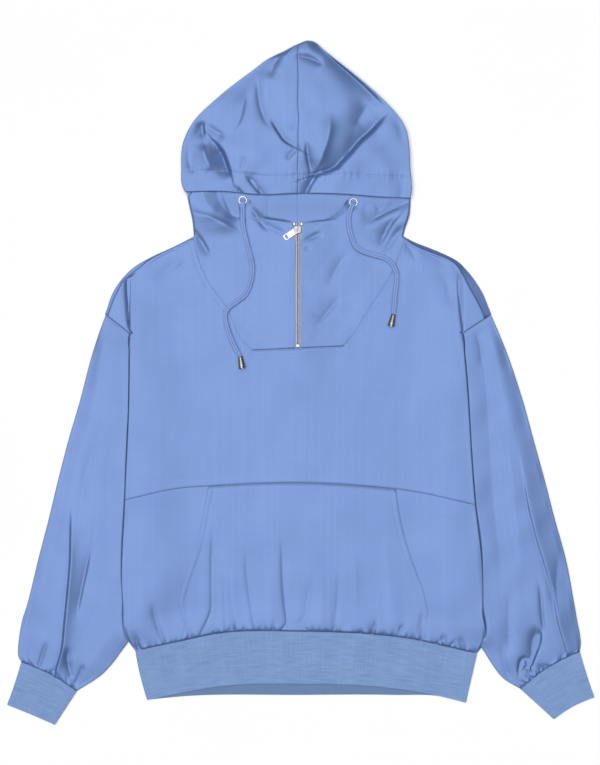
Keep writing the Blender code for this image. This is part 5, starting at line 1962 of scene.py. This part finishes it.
@dataclass
class Drawcord:
    """One drawcord: two satin strands through an eyelet, with a bell on their end.

    Attributes:
        side: The side of the garment.
        spot: Middle of its eyelet.
        route: X and Y of its middle, from the eyelet down the chest.
        bell_turn: Degrees by which the bell lies out of the cord's line.
        strand: Width and height of one strand.
        spread: Distance from the cord's middle to that of a strand.
        radius: Half of the cord's height as it lies.
    """

    side: Side
    spot: tuple[float, float]
    route: Rows
    body: BodyPattern
    wardrobe: Wardrobe
    bell_turn: float
    strand: tuple[float, float] = (3.5, 2.9)
    spread: float = 1.72
    radius: float = 2.75

    def base(self) -> float:
        """Height of the middle of the cloth at the eyelet."""
        return float(self.body.front_top(*np.array(self.spot))) - 0.75

    def path(self) -> Grid:
        """Middle of the cord, as the frame's route goes."""
        base = np.array([*self.spot, self.base()])
        first = unit(np.array(self.route[0]) - self.spot)
        points = [base + (0, 0, 0.4), base + (*(first * 0.6), 2.6),
                  base + (*(first * 5.6), 2.25 + self.radius)]
        points += [(x, y, float(self.body.front_top(np.array(x), np.array(y))) + 1.0 + self.radius)
                   for x, y in self.route]
        return smooth_line(np.array(points), 1.6)

    def build(self) -> None:
        bell = self.build_bell()
        path = self.path()
        flat = np.diff(path[:, :2], axis=0)
        way = np.vstack([flat, flat[-1:]])
        for _ in range(4):
            way[1:-1] = (way[:-2] + way[1:-1] + way[2:]) / 3
        way = unit(way)
        cross = joined(-way[:, 1], way[:, 0], 0.0)
        up = unit(np.cross(unit(np.gradient(path, axis=0)), cross))
        up *= np.where(up[:, 2:] < 0, -1, 1)
        travel = along(path)
        left = travel[-1] - travel
        shift = (self.spread - 0.35 * (ease(travel, 16, 2) + ease(left, 12, 0)))[:, None]
        twist = 0.55 * np.sin(travel / 21.0 + self.side.value) * ease(travel, 10, 30) * ease(left, 8, 25)
        aside = cross * shift * np.cos(twist)[:, None] + up * shift * np.sin(twist)[:, None]
        wide = self.strand[0] / 2 * (1 - 0.12 * ease(left, 10, 0))[:, None, None]
        turns = np.linspace(0, 2 * math.pi, 15)[:-1]
        weave = joined(turns * self.strand[0] / 2, travel[:, None])
        cloth = Cloth(f"drawcord_{self.side.word}")
        for strand in (-1, 1):
            middle = (path + strand * aside)[:, None]
            high = self.strand[1] / 2 * (1 + 0.05 * np.sin(travel / 2.2 + strand)[:, None, None])
            ring = (middle + cross[:, None] * wide * np.cos(turns)[:, None]
                    + up[:, None] * high * np.sin(turns)[:, None])
            ends = [end.repeat(len(turns), 1) for end in (middle[:1], middle[-1:])]
            cloth.add(np.concatenate([ends[0], ring, ends[1]]),
                      np.concatenate([weave[:1], weave, weave[-1:]]), ring=True)
        cord = cloth.piece(self.wardrobe.cord, f"cord_{self.side.word}", 0.0, upwards=False, weld=True)
        self.build_eyelet()

    def build_bell(self) -> Object:
        """Builds the hollow metal bell on the cord's end."""
        path = self.path()
        way = Vector((*(path[-1] - path[-4])[:2], 0.0))
        way.rotate(Matrix.Rotation(math.radians(self.bell_turn), 3, "Z"))
        way = np.array(way.normalized()) * 17.5 + (0, 0, 2.65)
        place = Matrix.Translation(Vector(path[-1] + unit(way) * 0.3) * MM)
        place = place @ Vector(way).to_track_quat("Z", "Y").to_matrix().to_4x4()
        bell = Bench(f"cord_bell_{self.side.word}").spin(BELL_PROFILE, 40).finish(place=place)
        return dress(bell, self.wardrobe.warm, f"cord_end_{self.side.word}")

    def build_eyelet(self) -> None:
        """Builds the eyelet: a rolled lip over the cloth, a barrel through it and a smaller lip below."""
        turns = np.linspace(0, math.pi * 0.83, 9)
        profile = [(4.0, -0.9), *((5.4 - 1.4 * math.cos(t), 1.05 + 0.95 * math.sin(t)) for t in turns)]
        profile += [(6.75, 1.05), (4.7, 1.05), (4.7, -1.05), (5.9, -1.05), (5.9, -1.4), (4.3, -1.4)]
        place = Matrix.Translation(Vector((*self.spot, self.base())) * MM)
        place = place @ Matrix.Rotation(math.radians(4) * self.side.value, 4, "Y")
        ring = Bench(f"eyelet_{self.side.word}_ring").spin(profile, 44).finish(place=place)
        dress(ring, self.wardrobe.nickel, f"eyelet_{self.side.word}")


# Sewing


@dataclass
class Sewing:
    """Rows of top stitches that lie on the finished cloth.

    Attributes:
        thread: Finish of the thread.
        pitch: Distance from one stitch to the next.
        length: Length of the part of a stitch that shows.
        thickness: Thickness of the thread.
    """

    thread: Finish
    pitch: float = 3.0
    length: float = 2.5
    thickness: float = 0.42

    def template(self) -> Object:
        """Builds one stitch about the origin along X, its ends drawn down into the cloth."""
        half, round_ = self.length / 2, self.thickness / 2
        bench = Bench("stitch").block((-half, -round_ * 1.4, -round_), (half, round_ * 1.4, round_))
        bench.slice(0, (-half * 0.55, half * 0.55))
        bench.choose(lambda at, way: abs(way.x) > 0.9).scale((1, 0.45, 0.45), (0, 0, 0))
        bpy.ops.transform.translate(value=(0, 0, -0.22 * MM))
        bench.choose(lambda at, way: way.z > 0.4 and abs(at.x) < half * 0.3).scale((1, 0.6, 1), (0, 0, 0))
        return bench.finish()

    def row(self, line: Grid, under: Surface, offset: float = 0.0) -> list[Matrix]:
        """Places of the stitches along a line.

        Args:
            line: X and Y of the seam.
            under: The cloth that they lie on.
            offset: How far to the left of the line they run.

        Returns:
            One matrix for each stitch.
        """
        line = smooth_line(line, 1.0)
        travel = along(line)
        way = unit(np.gradient(line, axis=0))
        line = line + joined(-way[:, 1], way[:, 0]) * offset
        half = self.length / 2
        places = []
        for at in np.arange(self.pitch / 2, travel[-1] - half, self.pitch):
            a, b = (np.array([np.interp(spot, travel, line[:, k]) for k in (0, 1)])
                    for spot in (at - half, at + half))
            tops = under.top(*a), under.top(*b)
            if not all(tops):
                continue
            middle = (a + b) / 2
            x_axis = Vector((*(b - a), tops[1] - tops[0])).normalized()
            y_axis = Vector((0, 0, 1)).cross(x_axis).normalized()
            turn = Matrix((x_axis, y_axis, x_axis.cross(y_axis))).transposed().to_4x4()
            height = under.top(*middle) + self.thickness * 0.3
            places.append(Matrix.Translation(Vector((*middle, height)) * MM) @ turn)
        return places

    def sew(self, name: str, places: list[Matrix]) -> None:
        """Makes one piece of all the stitches of a seam."""
        dress(copies(self.template(), name, places), self.thread)


# Stage


@dataclass
class Studio:
    """Camera straight above the garment, white table and soft light.

    Attributes:
        table: Material of the table.
        lens: Focal length of the camera.
        frame_height: Height of the picture on the table in metres.
        lamp: Direction of the light from the garment.
        spread: How wide the light looks from there, in degrees.
        power: Its power in watts on each square metre.
    """

    table: bpy.types.Material
    lens: float = 85.0
    frame_height: float = 765 * SQUARE * MM
    lamp: tuple[float, float, float] = (-0.13, 0.06, 1.0)
    spread: float = 58.0
    power: float = 2.62

    def build(self) -> None:
        """Builds the camera, the table and the lights."""
        scene = bpy.context.scene
        scene.view_settings.view_transform = "Standard"
        data = bpy.data.cameras.new("Camera")
        data.lens = self.lens
        scene.camera = add_piece("Camera", data)
        scene.camera.location = (0, -0.0007, 0.004 + self.frame_height * self.lens / data.sensor_width)
        bpy.ops.object.select_all(action="DESELECT")
        bpy.ops.mesh.primitive_plane_add(size=8, location=(0, 0, -0.0004))
        floor = bpy.context.object
        floor.name = "laying_table"
        floor.data.materials.append(self.table)
        data = bpy.data.lights.new("Key", "SUN")
        data.angle = math.radians(self.spread)
        data.energy = self.power
        lamp = add_piece("Key", data)
        lamp.location = self.lamp
        lamp.rotation_euler = (-Vector(self.lamp)).to_track_quat("-Z", "Y").to_euler()
        self.sky()

    def sky(self) -> None:
        """Lights the scene from all round, most from where the lamp is."""
        world = bpy.context.scene.world = bpy.data.worlds.new("Studio")
        world.use_nodes = True
        tree = world.node_tree
        place = tree.nodes.new("ShaderNodeTexCoord")
        toward = tree.nodes.new("ShaderNodeVectorMath")
        toward.operation = "DOT_PRODUCT"
        toward.inputs[1].default_value = Vector(self.lamp).normalized()
        ramp = tree.nodes.new("ShaderNodeValToRGB")
        tree.links.new(place.outputs["Generated"], toward.inputs[0])
        tree.links.new(toward.outputs["Value"], ramp.inputs[0])
        tree.links.new(ramp.outputs[0], tree.nodes["Background"].inputs["Color"])
        for element, tone in zip(ramp.color_ramp.elements, (0.05, 1.0)):
            element.color = (tone, tone, tone, 1)
        ramp.color_ramp.elements.new(0.75).color = (0.18, 0.18, 0.185, 1)
        tree.nodes["Background"].inputs["Strength"].default_value = 0.75


def sew_seams(sewing: Sewing, body: BodyPattern, hood: HoodPattern) -> None:
    """Sews the rows of top stitches that show on the garment.

    Args:
        sewing: The thread and stitch.
        body: Lines of the body.
        hood: Lines of the hood.
    """
    left, right = body.insert[Side.LEFT], body.insert[Side.RIGHT]
    down, up = np.arange(203.0, 61, -4), np.arange(76.0, 206, 4)
    seam = np.vstack([joined(left.at(down), down), [(-78, 54), (-69, 47)],
                      [(x, body.foot.at(x)) for x in np.arange(-60.0, 62, 10)], [(65, 55), (71, 67)],
                      joined(right.at(up), up)])
    chest = Surface("front_upper_cloth")
    sewing.sew("bib_stitches", sewing.row(seam, chest, -1.4) + sewing.row(seam, chest, -7.6))
    pocket, places = Surface("pocket_cloth"), []
    y = np.arange(-158.0, -367, -8)
    for side in Side:
        for inside in (2.0, 7.8):
            places += sewing.row(joined(body.pocket[side].at(y), y), pocket, -side.value * inside)
    sewing.sew("pocket_stitches", places)
    x = np.arange(-160.0, 154, 6)
    halves = Surface("hood_left_cloth", "hood_right_cloth")
    sewing.sew("brow_stitches", sewing.row(joined(x, hood.channel.at(x)), halves))
    inserts, places = Surface("neck_insert_left_cloth", "neck_insert_right_cloth"), []
    beside, above = np.arange(228.0, 50, -4), np.arange(262.0, 240, -4)
    for side, rim in ((Side.LEFT, [(x, 234.5) for x in range(-40, -16, 6)]),
                      (Side.RIGHT, [(x, 234) for x in range(30, 6, -6)])):
        throat = hood.throat[side]
        places += sewing.row(joined(throat.at(beside) + side.value * 3.6, beside), inserts)
        places += sewing.row(np.vstack([joined(throat.at(above), above), rim]), inserts, side.value * 4.2)
    sewing.sew("zip_stitches", places)


def main() -> None:
    """Builds the garment piece by piece."""
    logging.basicConfig(level=logging.INFO, format="%(message)s", force=True)
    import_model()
    wardrobe = Wardrobe()
    Studio(wardrobe.table).build()
    body_pattern, hood_pattern = BodyPattern(), HoodPattern()
    spots = {Side.LEFT: (-83.0, 263.5), Side.RIGHT: (77.5, 260.5)}
    Drawcord(Side.LEFT, spots[Side.LEFT], LEFT_ROUTE, body_pattern, wardrobe, -22).build()
    Drawcord(Side.RIGHT, spots[Side.RIGHT], RIGHT_ROUTE, body_pattern, wardrobe, -8).build()
    body = Body(body_pattern, wardrobe)
    body.build_back()
    body.build_upper()
    body.build_lower()
    body.build_pocket()
    for sleeve in (Sleeve(Side.LEFT, LEFT_SLEEVE, (-425, -468, -355.5, -497), LEFT_SLEEVE_FOLDS, body_pattern,
                          wardrobe, (3.7, 0.5)),
                   Sleeve(Side.RIGHT, RIGHT_SLEEVE, (427, -457, 368, -489), RIGHT_SLEEVE_FOLDS, body_pattern,
                          wardrobe, (5.0, 3.0))):
        sleeve.build()
        sleeve.build_cuff()
    HemBand(body_pattern, wardrobe).build()
    hood = Hood(hood_pattern, body_pattern, wardrobe)
    for side in Side:
        hood.build_half(side)
    for side in Side:
        hood.build_insert(side, spots[side])
    Zip(wardrobe).build()
    sew_seams(Sewing(wardrobe.thread), body_pattern, hood_pattern)
    for name, cut in CUTS.items():
        cut.declare(name)


if __name__ == "__main__":
    main()
